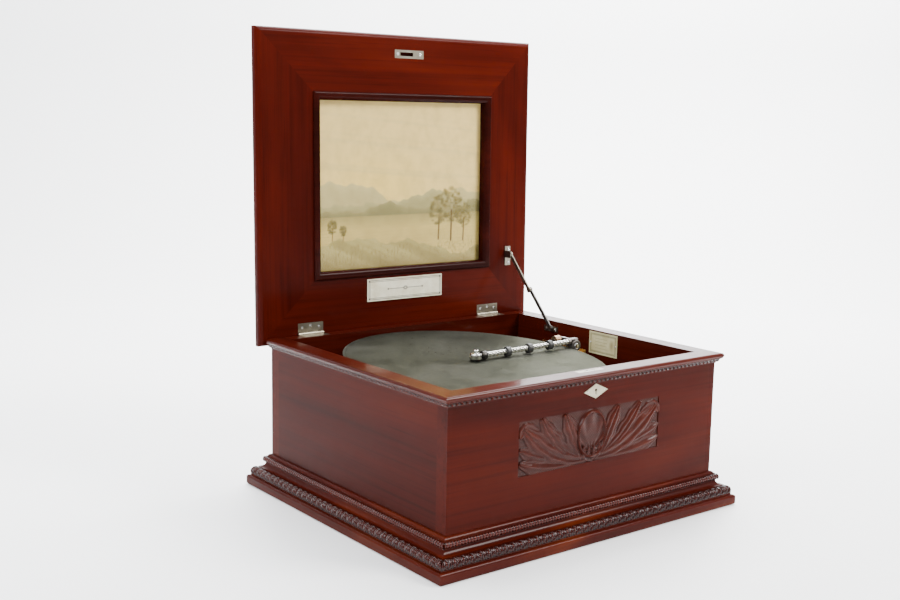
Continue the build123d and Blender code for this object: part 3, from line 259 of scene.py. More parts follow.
LOOKS = {
    "case_front": CASE_X, "case_rear": CASE_X, "case_left": CASE_Y, "case_right": CASE_Y,
    "bottom_board": PLAIN,
    "plinth_front": MOULD_X, "plinth_rear": MOULD_X, "plinth_left": MOULD_Y, "plinth_right": MOULD_Y,
    "rim_front": RIM_X, "rim_rear": RIM_X, "rim_left": RIM_Y, "rim_right": RIM_Y,
    "front_carving": CARVED, "escutcheon": PLATE, "lock_case": NICKEL, "lock_bolt": STEEL,
    "hinge_case_leaves": NICKEL, "lid_hinge_leaves": NICKEL, "strike_plate": NICKEL, "case_screws": STEEL,
    "lid_screws": STEEL, "stay_case_bracket": NICKEL, "stay_lid_bracket": NICKEL, "stay_lower_link": DULL,
    "stay_upper_link": NICKEL, "tune_card": CARD, "bedplate": IRON, "gantry": IRON, "bar_pedestal": DULL,
    "combs": BLUED, "star_wheels": STEEL, "spindle": STEEL, "pivot_screw": DULL, "motor_plates": BRASS,
    "motor_pillars": STEEL, "governor_cock": BRASS, "crank_bush": NICKEL, "lid_rail_front": LID_X,
    "lid_rail_rear": LID_X, "lid_stile_left": LID_Z, "lid_stile_right": LID_Z, "lid_panel": LID_X,
    "picture_moulding": FRAME, "picture_print": PRINT, "picture_glass": glass(), "name_plate": CARD,
    "tune_disc": STEEL_DISC, "drive_sprocket": STEEL, "spring_barrel": BRASS, "second_wheel": BRASS,
    "governor_fly": BRASS, "winding_crank": STEEL, "crank_handle": TURNED, "pressure_bar": BRIGHT,
    "bar_roller_1": RUBBER, "bar_roller_2": RUBBER, "bar_roller_3": RUBBER, "clamp_knob": BRIGHT,
    "edge_roller": BRONZE,
}
for name, mat in LOOKS.items():
    mesh = NODES[name].data
    mesh.materials.clear()
    mesh.materials.append(mat)


# ---------------------------------------------------------------- mesh helpers
def piece(name, verts, faces, mat, body, plane=None, smooth=True, replaces=(), slot=None, ink_and_painted_light=None,
          sharp=None):
    """A mesh from points in millimetres, placed by plane and carried by a CAD body."""
    points = np.array(verts, dtype=float).reshape(-1, 3)
    if plane is not None:
        m = np.array(plane)
        points = points @ m[:3, :3].T + m[:3, 3]
    mesh = bpy.data.meshes.new(name)
    mesh.from_pydata((points * MM).tolist(), [], faces)
    mesh.update()
    mesh.materials.append(mat)
    if smooth:
        mesh.polygons.foreach_set("use_smooth", [True] * len(mesh.polygons))
    # The vertex colour holds print on printed sheets, and painted shade and highlight on carved parts.
    if ink_and_painted_light is not None:
        layer = mesh.color_attributes.new("ink_and_painted_light", "FLOAT_COLOR", "POINT")
        layer.data.foreach_set("color", np.c_[ink_and_painted_light.reshape(-1, 3), np.ones(ink_and_painted_light.size // 3)].ravel())
    obj = bpy.data.objects.new(name, mesh)
    bpy.context.scene.collection.objects.link(obj)
    if sharp is not None:
        mesh.set_sharp_from_angle(angle=math.radians(sharp))
    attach(obj, body)
    if replaces:
        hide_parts(*replaces)
    return obj


def grid_faces(rows, cols, wrap=False, keep=None, first=0):
    faces = []
    for i in range(rows - 1):
        for j in range(cols if wrap else cols - 1):
            k = (j + 1) % cols
            if keep is None or keep[i][j]:
                faces.append((first + i * cols + j, first + i * cols + k,
                              first + (i + 1) * cols + k, first + (i + 1) * cols + j))
    return faces


def lathe(profile, segments, shape=None):
    """Points and faces of (radius, height) turned round Z; shape may change the radius with the angle."""
    verts = []
    for r, z in profile:
        for j in range(segments):
            a = 2 * math.pi * j / segments
            rr = r * (shape(a, r, z) if shape else 1)
            verts.append((rr * math.cos(a), rr * math.sin(a), z))
    return verts, grid_faces(len(profile), segments, wrap=True)


def joined(*parts):
    verts, faces = [], []
    for v, f in parts:
        n = len(verts)
        verts += [tuple(p) for p in v]
        faces += [tuple(i + n for i in face) for face in f]
    return verts, faces


def moved(part, matrix):
    v, f = part
    return [tuple(matrix @ Vector(p)) for p in v], f


def turned_along(axis, at=(0, 0, 0)):
    """Turns a lathe made round Z so that its height runs along the given axis, starting at a point."""
    return Matrix.Translation(at) @ Vector(axis).to_track_quat("Z", "Y").to_matrix().to_4x4()


def block(lo, hi, r=0.6):
    """A box with small chamfers."""
    verts = []
    for sx in (0, 1):
        for sy in (0, 1):
            for sz in (0, 1):
                corner = [(lo, hi)[s][i] for i, s in enumerate((sx, sy, sz))]
                for i in range(3):
                    p = [corner[k] + (0 if k == i else r * (1, -1)[(sx, sy, sz)[k]]) for k in range(3)]
                    verts.append(p)
    idx = lambda sx, sy, sz, i: (sx * 4 + sy * 2 + sz) * 3 + i
    faces = []
    for s in (0, 1):
        faces.append([idx(s, a, b, 0) for a, b in ((0, 0), (0, 1), (1, 1), (1, 0))][::(1 if s == 0 else -1)])
        faces.append([idx(a, s, b, 1) for a, b in ((0, 0), (1, 0), (1, 1), (0, 1))][::(1 if s == 0 else -1)])
        faces.append([idx(a, b, s, 2) for a, b in ((0, 0), (0, 1), (1, 1), (1, 0))][::(1 if s == 0 else -1)])
    for a in (0, 1):
        for b in (0, 1):
            faces.append([idx(0, a, b, 1), idx(0, a, b, 2), idx(1, a, b, 2), idx(1, a, b, 1)])
            faces.append([idx(a, 0, b, 0), idx(a, 0, b, 2), idx(a, 1, b, 2), idx(a, 1, b, 0)])
            faces.append([idx(a, b, 0, 0), idx(a, b, 0, 1), idx(a, b, 1, 1), idx(a, b, 1, 0)])
            for c in (0, 1):
                faces.append([idx(a, b, c, 0), idx(a, b, c, 1), idx(a, b, c, 2)])
    return verts, faces


# ---------------------------------------------------------------- carved bands on the base and rim
def arc(p, q, r, n):
    """Points on the circle through three points of a profile."""
    ax, ay, bx, by, cx, cy = *p, *q, *r
    d = 2 * (ax * (by - cy) + bx * (cy - ay) + cx * (ay - by))
    aa, bb, cc = ax * ax + ay * ay, bx * bx + by * by, cx * cx + cy * cy
    ux = (aa * (by - cy) + bb * (cy - ay) + cc * (ay - by)) / d
    uy = (aa * (cx - bx) + bb * (ax - cx) + cc * (bx - ax)) / d
    a0, a1, a2 = (math.atan2(y - uy, x - ux) for x, y in (p, q, r))
    while a1 < a0:
        a1 += 2 * math.pi
    while a2 < a0:
        a2 += 2 * math.pi
    if a2 < a1:
        a2 -= 2 * math.pi
    rad = math.hypot(ax - ux, ay - uy)
    return [(ux + rad * math.cos(a0 + (a2 - a0) * i / n), uy + rad * math.sin(a0 + (a2 - a0) * i / n))
            for i in range(n + 1)]


def leaf_band(v, s, pitch):
    """Egg-like leaves between darts, veined."""
    u = (s / pitch) % 1.0 - 0.5
    e = np.sqrt((u / 0.30) ** 2 + ((v - 0.52) / 0.46) ** 2)
    ring = np.exp(-((e - 1) / 0.16) ** 2)
    egg = np.clip(1 - e / 0.62, 0, 1) ** 0.5
    dart = np.exp(-((np.abs(u) - 0.5) / 0.055) ** 2) * np.clip(1.15 - np.abs(v - 0.55) * 1.6, 0, 1)
    vein = 0.25 * np.cos(u * 40) * np.exp(-((e - 1.5) / 0.3) ** 2)
    return np.clip(0.9 * ring + 1.0 * egg + 0.9 * dart + vein, 0, 1.3)


def bead_band(v, s, pitch):
    """A string of small round beads."""
    u = ((s / pitch) % 1.0 - 0.5) * 2
    return np.sqrt(np.clip(1 - u ** 2 - ((v - 0.5) * 2) ** 2, 0, 1)) * 1.2


def ribbon_band(v, s, pitch):
    """Small curling leaves laid one after another."""
    u = (s / pitch) % 1.0
    curl = np.exp(-((v - 0.5 - 0.32 * np.sin(2 * np.pi * u)) / 0.15) ** 2)
    knob = np.exp(-(((u - 0.5) / 0.16) ** 2 + ((v - 0.45) / 0.3) ** 2))
    return np.clip(curl * 0.8 + knob, 0, 1.2)


def band(name, side, curve, half_out, half_along, pattern, pitch, depth, square_rear=False, step=0.75):
    out = np.array({"front": (0, -1), "rear": (0, 1), "left": (-1, 0), "right": (1, 0)}[side], dtype=float)
    along = np.array((-out[1], out[0]))
    rows = len(curve)
    reach = half_along + max(o for o, _ in curve)
    count = int(2 * reach / step)
    s = np.linspace(-reach, reach, count)
    verts, ink_and_painted_light = np.zeros((rows, count, 3)), np.ones((rows, count, 3))
    for i, (o, z) in enumerate(curve):
        before, after = curve[max(i - 1, 0)], curve[min(i + 1, rows - 1)]
        tangent = np.array((after[0] - before[0], after[1] - before[1]))
        normal = np.array((tangent[1], -tangent[0])) / np.hypot(*tangent)
        if normal[0] < 0:
            normal = -normal
        v = i / (rows - 1)
        fade = min(1.0, 6 * min(v, 1 - v))
        high = fade * pattern(np.full(count, v), s, pitch)
        d = 0.06 + depth * high
        # Painted shade and highlight: the band's low ground is darkened and its raised parts lightened, by
        # relief height.
        ink_and_painted_light[i, :, :] = np.clip(0.16 + 1.0 * high, 0, 1.5)[:, None]
        lo, hi = -(half_along + o), half_along + o
        if square_rear and along[1] > 0:
            hi = half_along
        elif square_rear:
            lo = -half_along
        t = np.clip(s, lo, hi)
        oo = half_out + o + d * normal[0]
        verts[i, :, 0] = out[0] * oo + along[0] * t
        verts[i, :, 1] = out[1] * oo + along[1] * t
        verts[i, :, 2] = z + d * normal[1]
    mat = RELIEF_X if side in ("front", "rear") else RELIEF_Y
    return piece(name, verts, grid_faces(rows, count), mat, "case", slot="case_mahogany", ink_and_painted_light=ink_and_painted_light)


OVOLO = arc((23.9, 17.5), (21.8, 24.6), (15.5, 27.8), 14)
BEAD = arc((6.8, 38.3), (9.6, 41.6), (6.2, 44.9), 9)
SWEEP = arc((1.0, 216.2), (3.2, 219.6), (7.0, 222.0), 10)
for side in ("front", "rear", "left", "right"):
    halves = (220.0, 248.0) if side in ("front", "rear") else (248.0, 220.0)
    band("base_leaves_" + side, side, OVOLO, *halves, leaf_band, 13.5, 2.3, step=0.6)
    band("base_beads_" + side, side, BEAD, *halves, bead_band, 4.9, 1.9, step=0.5)
    if side != "rear":
        band("rim_leaves_" + side, side, SWEEP, *halves, ribbon_band, 8.0, 1.6, square_rear=side != "front")


# ---------------------------------------------------------------- carved front panel
def frond(x, z, bend, width, height, grooves=3):
    """Relief of one leaf along a bent line: widest past the middle, hollow grooves along it, a rolled tip."""
    (x0, z0), (x1, z1), (x2, z2) = bend
    best = np.zeros_like(x)
    for t in np.linspace(0, 1, 64):
        px = (1 - t) ** 2 * x0 + 2 * t * (1 - t) * x1 + t * t * x2
        pz = (1 - t) ** 2 * z0 + 2 * t * (1 - t) * z1 + t * t * z2
        tx, tz = (1 - t) * (x1 - x0) + t * (x2 - x1), (1 - t) * (z1 - z0) + t * (z2 - z1)
        size = math.hypot(tx, tz)
        lobe = 1 + 0.10 * math.sin(t * 26)
        w = width * lobe * (0.25 + 0.75 * math.sin(math.pi * (0.06 + 0.62 * t))) * math.sqrt(1.0001 - t ** 7)
        across = ((x - px) * tz - (z - pz) * tx) / size / w
        ahead = ((x - px) * tx + (z - pz) * tz) / size / 2.2
        body = np.sqrt(np.clip(1 - across ** 2, 0, 1)) * (np.abs(ahead) < 1)
        hollow = 1 - 0.50 * np.sin(grooves * math.pi * (across + 1) / 2) ** 2
        best = np.maximum(best, height * (0.35 + 0.65 * t ** 0.8) * body * hollow)
    return best


def carving():
    w, h, step = 130.8, 36.8, 0.6
    x, z = np.meshgrid(np.arange(-w, w + step, step), np.arange(-h, h + step, step))
    rng = random.Random(5)
    ground = np.zeros_like(x)
    for _ in range(5):
        fx, fz, p = rng.uniform(0.9, 2.1), rng.uniform(0.9, 2.1), rng.uniform(0, 6)
        ground += 0.07 * np.sin(fx * x + p) * np.cos(fz * z + p)
    relief = np.zeros_like(x)
    sprays = [((10, -30), (64, -34), (124, 26), 17.5, 5.2, 3),
              ((14, -32), (76, -40), (129, -20), 12.0, 4.6, 2),
              ((18, -30), (30, -6), (50, 35), 13.0, 4.9, 3), ((24, -28), (64, -10), (92, 35), 12.0, 4.4, 3),
              ((70, -22), (104, -16), (129, -2), 9.0, 4.0, 2), ((98, 20), (120, 36), (129, 16), 7.5, 5.0, 1)]
    for a, b, c, wide, high, grooves in sprays:
        for way in (-1, 1):
            relief = np.maximum(relief, frond(x * way, z, (a, b, c), wide, high, grooves))
    rho = np.hypot(x / 26.5, (z - 2) / 33.0)
    angle = np.arctan2(z + 22, x)
    scallop = 0.5 + 0.5 * np.cos(angle * 14)
    ring = 5.0 * np.exp(-((rho - 0.95) / 0.06) ** 2)
    bowl = 0.9 + 2.6 * np.clip(rho, 0, 1) ** 2 - 2.3 * scallop * np.clip((rho - 0.30) / 0.5, 0, 1)
    relief = np.where(rho < 1.06, 0, relief)
    relief = np.maximum(relief, ring)
    relief = np.where(rho < 0.88, np.maximum(bowl, 0.2), relief)
    for way in (-1, 1):
        relief = np.maximum(relief, frond(x * way, z, ((3, -35), (16, -30), (15, -14)), 3.6, 5.4, 1))
        relief = np.maximum(relief, frond(x * way, z, ((1, -35), (6, -26), (5, -16)), 2.6, 5.0, 1))
    relief = np.clip(relief, 0, 5.2)
    y = -(218.8 + 0.85 * relief + ground)
    # Painted shade and highlight: the flat ground is darkened and the high relief lightened, by relief
    # height.
    ink_and_painted_light = np.repeat(np.clip(0.62 + relief * 0.13, 0, 1.25).reshape(-1, 1), 3, axis=1)
    rows, cols = x.shape
    verts = np.dstack((x, y, z + 142.7)).reshape(-1, 3)
    back = [(-w, -216.1, 142.7 - h), (w, -216.1, 142.7 - h), (w, -216.1, 142.7 + h), (-w, -216.1, 142.7 + h)]
    faces = grid_faces(rows, cols)
    n = len(verts)
    faces.append((n, n + 3, n + 2, n + 1))
    edge = [list(range(cols)), [i * cols + cols - 1 for i in range(rows)],
            list(range((rows - 1) * cols, rows * cols))[::-1], [i * cols for i in range(rows)][::-1]]
    for k, line in enumerate(edge):
        faces.append((*line[::-1], n + k, n + (k + 1) % 4))
    piece("carved_panel", list(map(tuple, verts)) + back, faces, CARVED, "case", replaces=("front_carving",),
          slot="carved_wood", sharp=50, ink_and_painted_light=np.vstack((ink_and_painted_light, np.ones((4, 3)))))


carving()


# ---------------------------------------------------------------- tune disc with its slots and drive holes
def tune_disc():
    rng = random.Random(11)
    cone = lambda r: DISC_DISH * r / DISC_R
    steps = 480
    radii, slotted = [3.6, 9.0, 20.0, 34.0], [False] * 4
    r = 47.0
    while r < 187:
        radii += [r, r + 1.15]
        slotted += [True, False]
        r += 2.35
    radii += [190.2]
    slotted += [False]
    keep = []
    for i in range(len(radii) - 1):
        row = [True] * steps
        if slotted[i]:
            j = rng.randrange(6)
            while j < steps:
                if rng.random() < 0.42:
                    long = max(1, int(round(3.2 / (radii[i] * 2 * math.pi / steps))))
                    for k in range(j, min(j + long, steps)):
                        row[k] = False
                    j += long
                j += rng.randrange(5, 22)
        keep.append(row)
    verts, faces = [], []
    for top in (0.0, -DISC_T):
        first = len(verts)
        for r in radii:
            for j in range(steps):
                a = 2 * math.pi * j / steps
                verts.append((r * math.cos(a), r * math.sin(a), cone(r) + top))
        made = grid_faces(len(radii), steps, wrap=True, keep=keep, first=first)
        faces += made if top == 0 else [f[::-1] for f in made]
    half = math.pi / DRIVE_HOLES
    for top in (0.0, -DISC_T):
        for k in range(DRIVE_HOLES):
            a0 = 2 * half * k + half
            first = len(verts)
            ring, rim = [], []
            for q in range(8):
                t = q * math.pi / 4 + math.pi / 8
                ring.append((DRIVE_R + DRIVE_HOLE_R * math.cos(t), a0 + DRIVE_HOLE_R * math.sin(t) / DRIVE_R))
                out = (4.35 if math.cos(t) > 0 else -2.3) * (1 if abs(math.cos(t)) > 0.5 else 0.3)
                way = (1 if math.sin(t) > 0 else -1) * (1 if abs(math.sin(t)) > 0.5 else 0.4)
                rim.append((DRIVE_R + out, a0 + half * way))
            for q, (c, s) in enumerate(((1, 0.4), (1, 1), (0, 1), (-1, 1),
                                        (-1, 0.4), (-1, -1), (0, -1), (1, -1))):
                t = math.atan2(s, c if c else 0.0001)
                ring[q] = (DRIVE_R + DRIVE_HOLE_R * math.cos(t), a0 + DRIVE_HOLE_R * math.sin(t) / DRIVE_R)
                s = 0 if abs(s) == 0.4 else s
                rim[q] = (192.5 + (4.35 if c > 0 else -2.3 if c < 0 else 0), a0 + half * s)
            for rr, a in ring + rim:
                verts.append((rr * math.cos(a), rr * math.sin(a), cone(rr) + top))
            for q in range(8):
                p = (q + 1) % 8
                quad = (first + q, first + 8 + q, first + 8 + p, first + p)
                faces.append(quad if top == 0 else quad[::-1])
    for r, flip in ((196.85, False), (3.6, True)):
        first = len(verts)
        for z in (-0.8, 0.0):
            for j in range(480):
                a = 2 * math.pi * j / 480
                verts.append((r * math.cos(a), r * math.sin(a), cone(r) + z))
        made = grid_faces(2, 480, wrap=True, first=first)
        faces += [f[::-1] for f in made] if flip else made
    piece("tune_disc_sheet", verts, faces, STEEL_DISC, "disc", DISC, smooth=False, replaces=("tune_disc",),
          slot="tune_steel")


tune_disc()


# ---------------------------------------------------------------- pressure bar, knob, milled pivot screw
def twisted_bar():
    """A square bar twisted cold, with a plain round neck where each roller turns."""
    rows, cols, ridges, lead = 420, 48, 4, 29.0
    verts = []
    for i in range(rows):
        x = ROD_X0 + (ROD_X1 - ROD_X0) * i / (rows - 1)
        for j in range(cols):
            a = 2 * math.pi * j / cols
            ridge = abs(math.cos(0.5 * ridges * (a - x * 2 * math.pi / lead)))
            necked = any(abs(x - centre) < NECK_HALF for centre in ROLLERS)
            r = NECK_R if necked else 2.2 + 2.0 * ridge ** 0.7
            verts.append((x, r * math.cos(a), ROD_Z + r * math.sin(a)))
    return verts, grid_faces(rows, cols, wrap=True)


def bored_block(near, far, bevel, bore_at, radius, cols=96):
    """A block with a bore through it along y and its front and back edges bevelled."""
    verts = []
    loops = [(bevel, near[1]), (0, near[1] + bevel), (0, far[1] - bevel), (bevel, far[1]),
             (None, far[1]), (None, near[1]), (bevel, near[1])]
    for inset, y in loops:
        for j in range(cols):
            c, s = math.cos(2 * math.pi * j / cols), math.sin(2 * math.pi * j / cols)
            reach = radius
            if inset is not None:
                room_x = (far[0] - inset - bore_at[0]) if c > 0 else (bore_at[0] - near[0] - inset)
                room_z = (far[2] - inset - bore_at[1]) if s > 0 else (bore_at[1] - near[2] - inset)
                reach = min(room_x / max(abs(c), 1e-6), room_z / max(abs(s), 1e-6))
            verts.append((bore_at[0] + reach * c, y, bore_at[1] + reach * s))
    return verts, [face[::-1] for face in grid_faces(len(loops), cols, wrap=True)]


along_x = lambda x: turned_along((1, 0, 0), (x, 0, ROD_Z))
piece("twisted_rod", *twisted_bar(), BRIGHT, "bar", BAR, slot="dark_steel")
ends = joined(
    moved(lathe([(0, 0), (5.2, 0), (6.4, 0.8), (6.8, 2.0), (6.8, 7.0), (6.2, 8.2), (4.6, 9.0), (0, 9.4)], 40),
          along_x(11.6)),
    block((4.5, -4, 210.8), (14, 4, 212.2), 0.3), block((11, -4.5, 210.8), (20.5, 4.5, 216)),
    lathe([(3.3, 210.8), (8, 210.8), (8, 212.2), (3.3, 212.2)], 40))
piece("bar_latch", *ends, BLACKED, "bar", BAR, slot="dark_steel", sharp=35)
tail = joined(bored_block((198, -2, 204.8), (217, 8, 220.8), 1.2, (209, 209.6), 2.1),
              moved(lathe([(0, 0), (4.6, 0), (4.6, 4), (0, 4)], 28), along_x(194.5)),
              moved(lathe([(0, 0), (1.6, 0.4), (2.4, 2.6), (0, 3.6)], 20),
                    turned_along((1, 0, 0), (217, 3, 215))))
piece("bar_tail", *tail, DULL, "bar", BAR, replaces=("pressure_bar",), slot="dark_steel", sharp=35)
pin = moved(lathe([(0, 0), (1.1, 0), (1.1, 3.0), (0, 3.0)], 16), turned_along((1, 0, 0), (9.3, 0, 217.1)))
piece("bar_latch_pin", *pin, BRIGHT, "bar", BAR, slot="dark_steel", sharp=40)

ribs = lambda a, r, z: 1 + (0.012 * math.cos(a * 36) if r > 8.6 else 0)
knob = lathe([(3.2, 211.7), (3.2, 212.6), (7.6, 212.6), (8.8, 213.4), (9.0, 214.2), (9.0, 216.0),
              (8.3, 216.4), (8.3, 217.2), (9.0, 217.6), (9.0, 219.8), (8.4, 220.9), (7.0, 221.4),
              (4.4, 221.6), (3.6, 222.6),
              (3.7, 224.4), (4.0, 225.8), (3.4, 226.8), (0, 227.0)], 144, ribs)
piece("thumb_nut", *knob, BRIGHT, "knob", Matrix.Translation((-28, 0, 0)), replaces=("clamp_knob",),
      slot="bright_steel", sharp=40)
mill = lambda a, r, z: 1 + (0.03 * math.cos(a * 30) if r > 9 else 0)
to_front = Matrix.Translation((209, 10.4, 209.6)) @ Matrix.Rotation(math.pi / 2, 4, "X")
screw = lathe([(0, 0), (2.0, 0), (2.0, 12.7), (8.4, 12.7), (9.5, 13.2), (9.5, 15.6), (8.4, 16.2), (5.4, 16.2),
               (5.0, 15.7)], 120, mill)
piece("milled_pivot_screw", *moved(screw, to_front), DULL, "case", BAR, replaces=("pivot_screw",),
      slot="bright_steel", sharp=40)
hub = lathe([(5.0, 15.7), (4.4, 16.4), (3.6, 17.2), (0, 17.4)], 40)
piece("milled_screw_hub", *moved(hub, to_front), BRIGHT, "case", BAR, slot="bright_steel", sharp=40)


# ---------------------------------------------------------------- slotted screw heads
def screw_head(r, rise):
    """A domed head with a straight slot, standing on z = 0."""
    dome = [(r, 0), (r * 0.98, rise * 0.55), (r * 0.75, rise * 0.9), (r * 0.4, rise), (0.01, rise)]
    verts, faces = lathe(dome, 28)
    dug = [(x, y, z - (0.5 * rise + 0.15) * (abs(y) < r * 0.17) * (z > 0.1)) for x, y, z in verts]
    return dug, faces


def heads(name, spots, body, replaces, mat=STEEL):
    rng = random.Random(len(spots))
    parts = []
    for at, axis, r, rise in spots:
        turn = Matrix.Rotation(rng.uniform(0, math.pi), 4, "Z")
        parts.append(moved(screw_head(r, rise), turned_along(axis, at) @ turn))
    piece(name, *joined(*parts), mat, body, replaces=(replaces,), slot="bright_steel", sharp=40)


LEAF_SCREWS = [(way * 176.5 + dx, dy) for way in (-1, 1) for dx, dy in ((-15, 10.0), (0, 12.5), (15, 10.0))]
case_spots = [((x, 221 - y, 229.4), (0, 0, 1), 2.4, 0.5) for x, y in LEAF_SCREWS]
case_spots += [((225.5, 109.4 + d, 216.1), (-1, 0, 0), 2.2, 0.8) for d in (-6, 16)]
case_spots += [((226.3, -9.2 + d, 209.6), (-1, 0, 0), 1.5, 0.9) for d in (-28, 28)]
case_spots += [((4 + d, -221.2, 204), (0, -1, 0), 1.1, 0.7) for d in (-15.5, 15.5)]
case_spots += [((x, y, 166), (0, 0, 1), 4.5, 2.4) for x in (-58, 156) for y in (-178, 178)]
case_spots += [(tuple(BAR @ Vector((64 + 25 * i, s * 52, 198.6))), (0, 0, 1), 3.2, 2.0)
               for i in range(5) for s in (-1, 1)]
heads("case_screw_heads", case_spots, "case", "case_screws")
out_of_lid = tuple(LID.to_3x3() @ Vector((0, 0, 1)))
lid_spots = [(tuple(LID @ Vector((x, v, -0.6))), out_of_lid, 2.4, 0.5) for x, v in LEAF_SCREWS]
lid_spots += [(tuple(LID @ Vector((9 + d, 432.8, -0.6))), out_of_lid, 2.4, 0.5) for d in (-22, 22)]
lid_spots += [(tuple(LID @ Vector((221.5, 98.5 + d, 1.5))), out_of_lid, 2.4, 0.9) for d in (-11, 11)]
heads("lid_screw_heads", lid_spots, "lid", "lid_screws")


# ---------------------------------------------------------------- printed picture, name plate and card
def linear(rgb):
    c = np.asarray(rgb, dtype=float) / 255
    return np.where(c <= 0.04045, c / 12.92, ((c + 0.055) / 1.055) ** 2.4)


class Sheet:
    """A little paint surface: pixels are a millimetre or less, x to the right and y up."""

    def __init__(self, wide, tall, step, color):
        self.step, self.w, self.h = step, int(round(wide / step)) + 1, int(round(tall / step)) + 1
        self.a = np.ones((self.h, self.w, 3)) * np.array(color, dtype=float)
        self.x, self.y = np.meshgrid(np.linspace(0, wide, self.w), np.linspace(0, tall, self.h))

    def blend(self, mask, color):
        self.a += mask[..., None] * (np.array(color, dtype=float) - self.a)

    def line(self, p, q, width, color, alpha=1.0):
        (x0, y0), (x1, y1) = p, q
        dx, dy = x1 - x0, y1 - y0
        t = np.clip(((self.x - x0) * dx + (self.y - y0) * dy) / max(dx * dx + dy * dy, 1e-6), 0, 1)
        d = np.hypot(self.x - x0 - t * dx, self.y - y0 - t * dy)
        self.blend(alpha * np.clip((width / 2 - d) / self.step + 0.5, 0, 1), color)

    def blob(self, x, y, rx, ry, color, alpha):
        d = np.hypot((self.x - x) / rx, (self.y - y) / ry)
        self.blend(alpha * np.clip(1.3 - d, 0, 1), color)


def ripple(x, seed, octaves=5, base=0.02):
    rng = random.Random(seed)
    return sum(math.pow(0.55, k) * np.sin(x * base * 2.1 ** k + rng.uniform(0, 6)) for k in range(octaves))


def landscape():
    """A generic evening view: hazy sky, soft hills one behind another, a calm lake and a meadow."""
    s = Sheet(323.0, 265.0, 1.0, (232, 210, 156))
    x, y, rng = s.x, s.y, random.Random(3)
    s.blend(np.clip((y - 120) / 150, 0, 1), (222, 200, 150))
    s.blend(0.6 * np.exp(-(((x - 110) / 95) ** 2 + ((y - 128) / 46) ** 2)), (246, 218, 140))
    s.blend(0.35 * np.clip(ripple(y * 3 + x * 0.25, 4, 4, 0.05) - 0.4, 0, 1) * (y > 140), (204, 188, 152))
    for seed, foot, rise, wave, color in ((8, 122, 12, 0.016, (196, 186, 150)),
                                          (12, 108, 9, 0.022, (170, 166, 134)),
                                          (17, 96, 6, 0.034, (138, 138, 108))):
        top = foot + rise * ripple(x, seed, 5, wave)
        s.blend(np.clip((top - y) / 1.6, 0, 1), color)
        s.blend(0.3 * np.clip((top - y) / 1.6, 0, 1) * np.clip((y - top + 12) / 12, 0, 1), (212, 202, 164))
    lake = np.clip((84 - y) / 1.5, 0, 1)
    s.blend(lake, (214, 196, 140))
    s.blend(lake * np.clip((y - 62) / 22, 0, 1) * 0.7, (150, 146, 112))
    s.blend(lake * 0.4 * np.clip(ripple(y * 7 + x * 0.06, 5, 4, 0.35), 0, 1), (184, 170, 128))
    meadow_top = 44 + 9 * ripple(x, 23, 5, 0.02) - 0.05 * x
    meadow = np.clip((meadow_top - y) / 2, 0, 1)
    s.blend(meadow, (170, 162, 118))
    s.blend(meadow * np.clip(0.5 + 0.5 * ripple(x * 0.9 + y * 2.2, 30, 4, 0.06), 0, 1), (192, 182, 138))
    s.blend(meadow * np.clip((24 - y) / 24, 0, 1) * 0.5, (132, 122, 82))
    for cx, foot, tall in ((236, 40, 74), (262, 37, 92), (288, 36, 66), (28, 46, 34), (48, 45, 26)):
        s.line((cx, foot), (cx + 1.5, foot + 0.55 * tall), 0.035 * tall, (96, 78, 54), 0.9)
        for _ in range(90):
            angle, far = rng.uniform(0, 2 * math.pi), math.sqrt(rng.random())
            bx = cx + 0.24 * tall * far * math.cos(angle)
            by = foot + 0.66 * tall + 0.32 * tall * far * math.sin(angle)
            shade = rng.choice(((116, 112, 74), (98, 96, 64), (142, 134, 92)))
            s.blob(bx, by, rng.uniform(2, 0.07 * tall), rng.uniform(1.6, 0.05 * tall), shade, 0.5)
    for _ in range(260):
        gx = rng.uniform(4, 319)
        gy = rng.uniform(4, 34)
        s.line((gx, gy), (gx + rng.uniform(-1.5, 1.5), gy + rng.uniform(2, 6)), 0.7, (118, 108, 72), 0.5)
    return s


def bordered(wide, tall, ground, dark, inset, gap, corners, step=0.5):
    s = Sheet(wide, tall, step, ground)
    for k, width in ((inset, 0.9), (inset + gap, 0.6)):
        for p, q in (((k, k), (wide - k, k)), ((k, tall - k), (wide - k, tall - k)), ((k, k), (k, tall - k)),
                     ((wide - k, k), (wide - k, tall - k))):
            s.line(p, q, width, dark, 0.9)
    if corners:
        for cx in (inset + gap / 2, wide - inset - gap / 2):
            for cy in (inset + gap / 2, tall - inset - gap / 2):
                s.blob(cx, cy, 1.6, 1.6, dark, 1.0)
    return s


def printed(name, s, plane, body, mat, node_name, slot, thick, warmth=(1.0, 1.0, 1.0)):
    """The painted sheet as a thin slab: its face carries the ink, its back and edges the ground colour."""
    rows, cols = s.h, s.w
    verts = np.dstack((s.x, s.y, np.zeros_like(s.x))).reshape(-1, 3)
    ink_and_painted_light = linear(s.a.reshape(-1, 3)) ** warmth
    wide, tall = s.x.max(), s.y.max()
    back = np.array([(0, 0, -thick), (wide, 0, -thick), (wide, tall, -thick), (0, tall, -thick)])
    n = len(verts)
    faces = grid_faces(rows, cols)
    faces.append((n, n + 3, n + 2, n + 1))
    edge = [list(range(cols)), [i * cols + cols - 1 for i in range(rows)],
            list(range((rows - 1) * cols, rows * cols))[::-1], [i * cols for i in range(rows)][::-1]]
    for k, line in enumerate(edge):
        faces.append((*line[::-1], n + k, n + (k + 1) % 4))
    piece(name, np.vstack((verts, back)), faces, mat, body, plane, smooth=False,
          replaces=(node_name,), slot=slot,
          ink_and_painted_light=np.vstack((ink_and_painted_light, np.repeat(ink_and_painted_light[:1], 4, axis=0))))


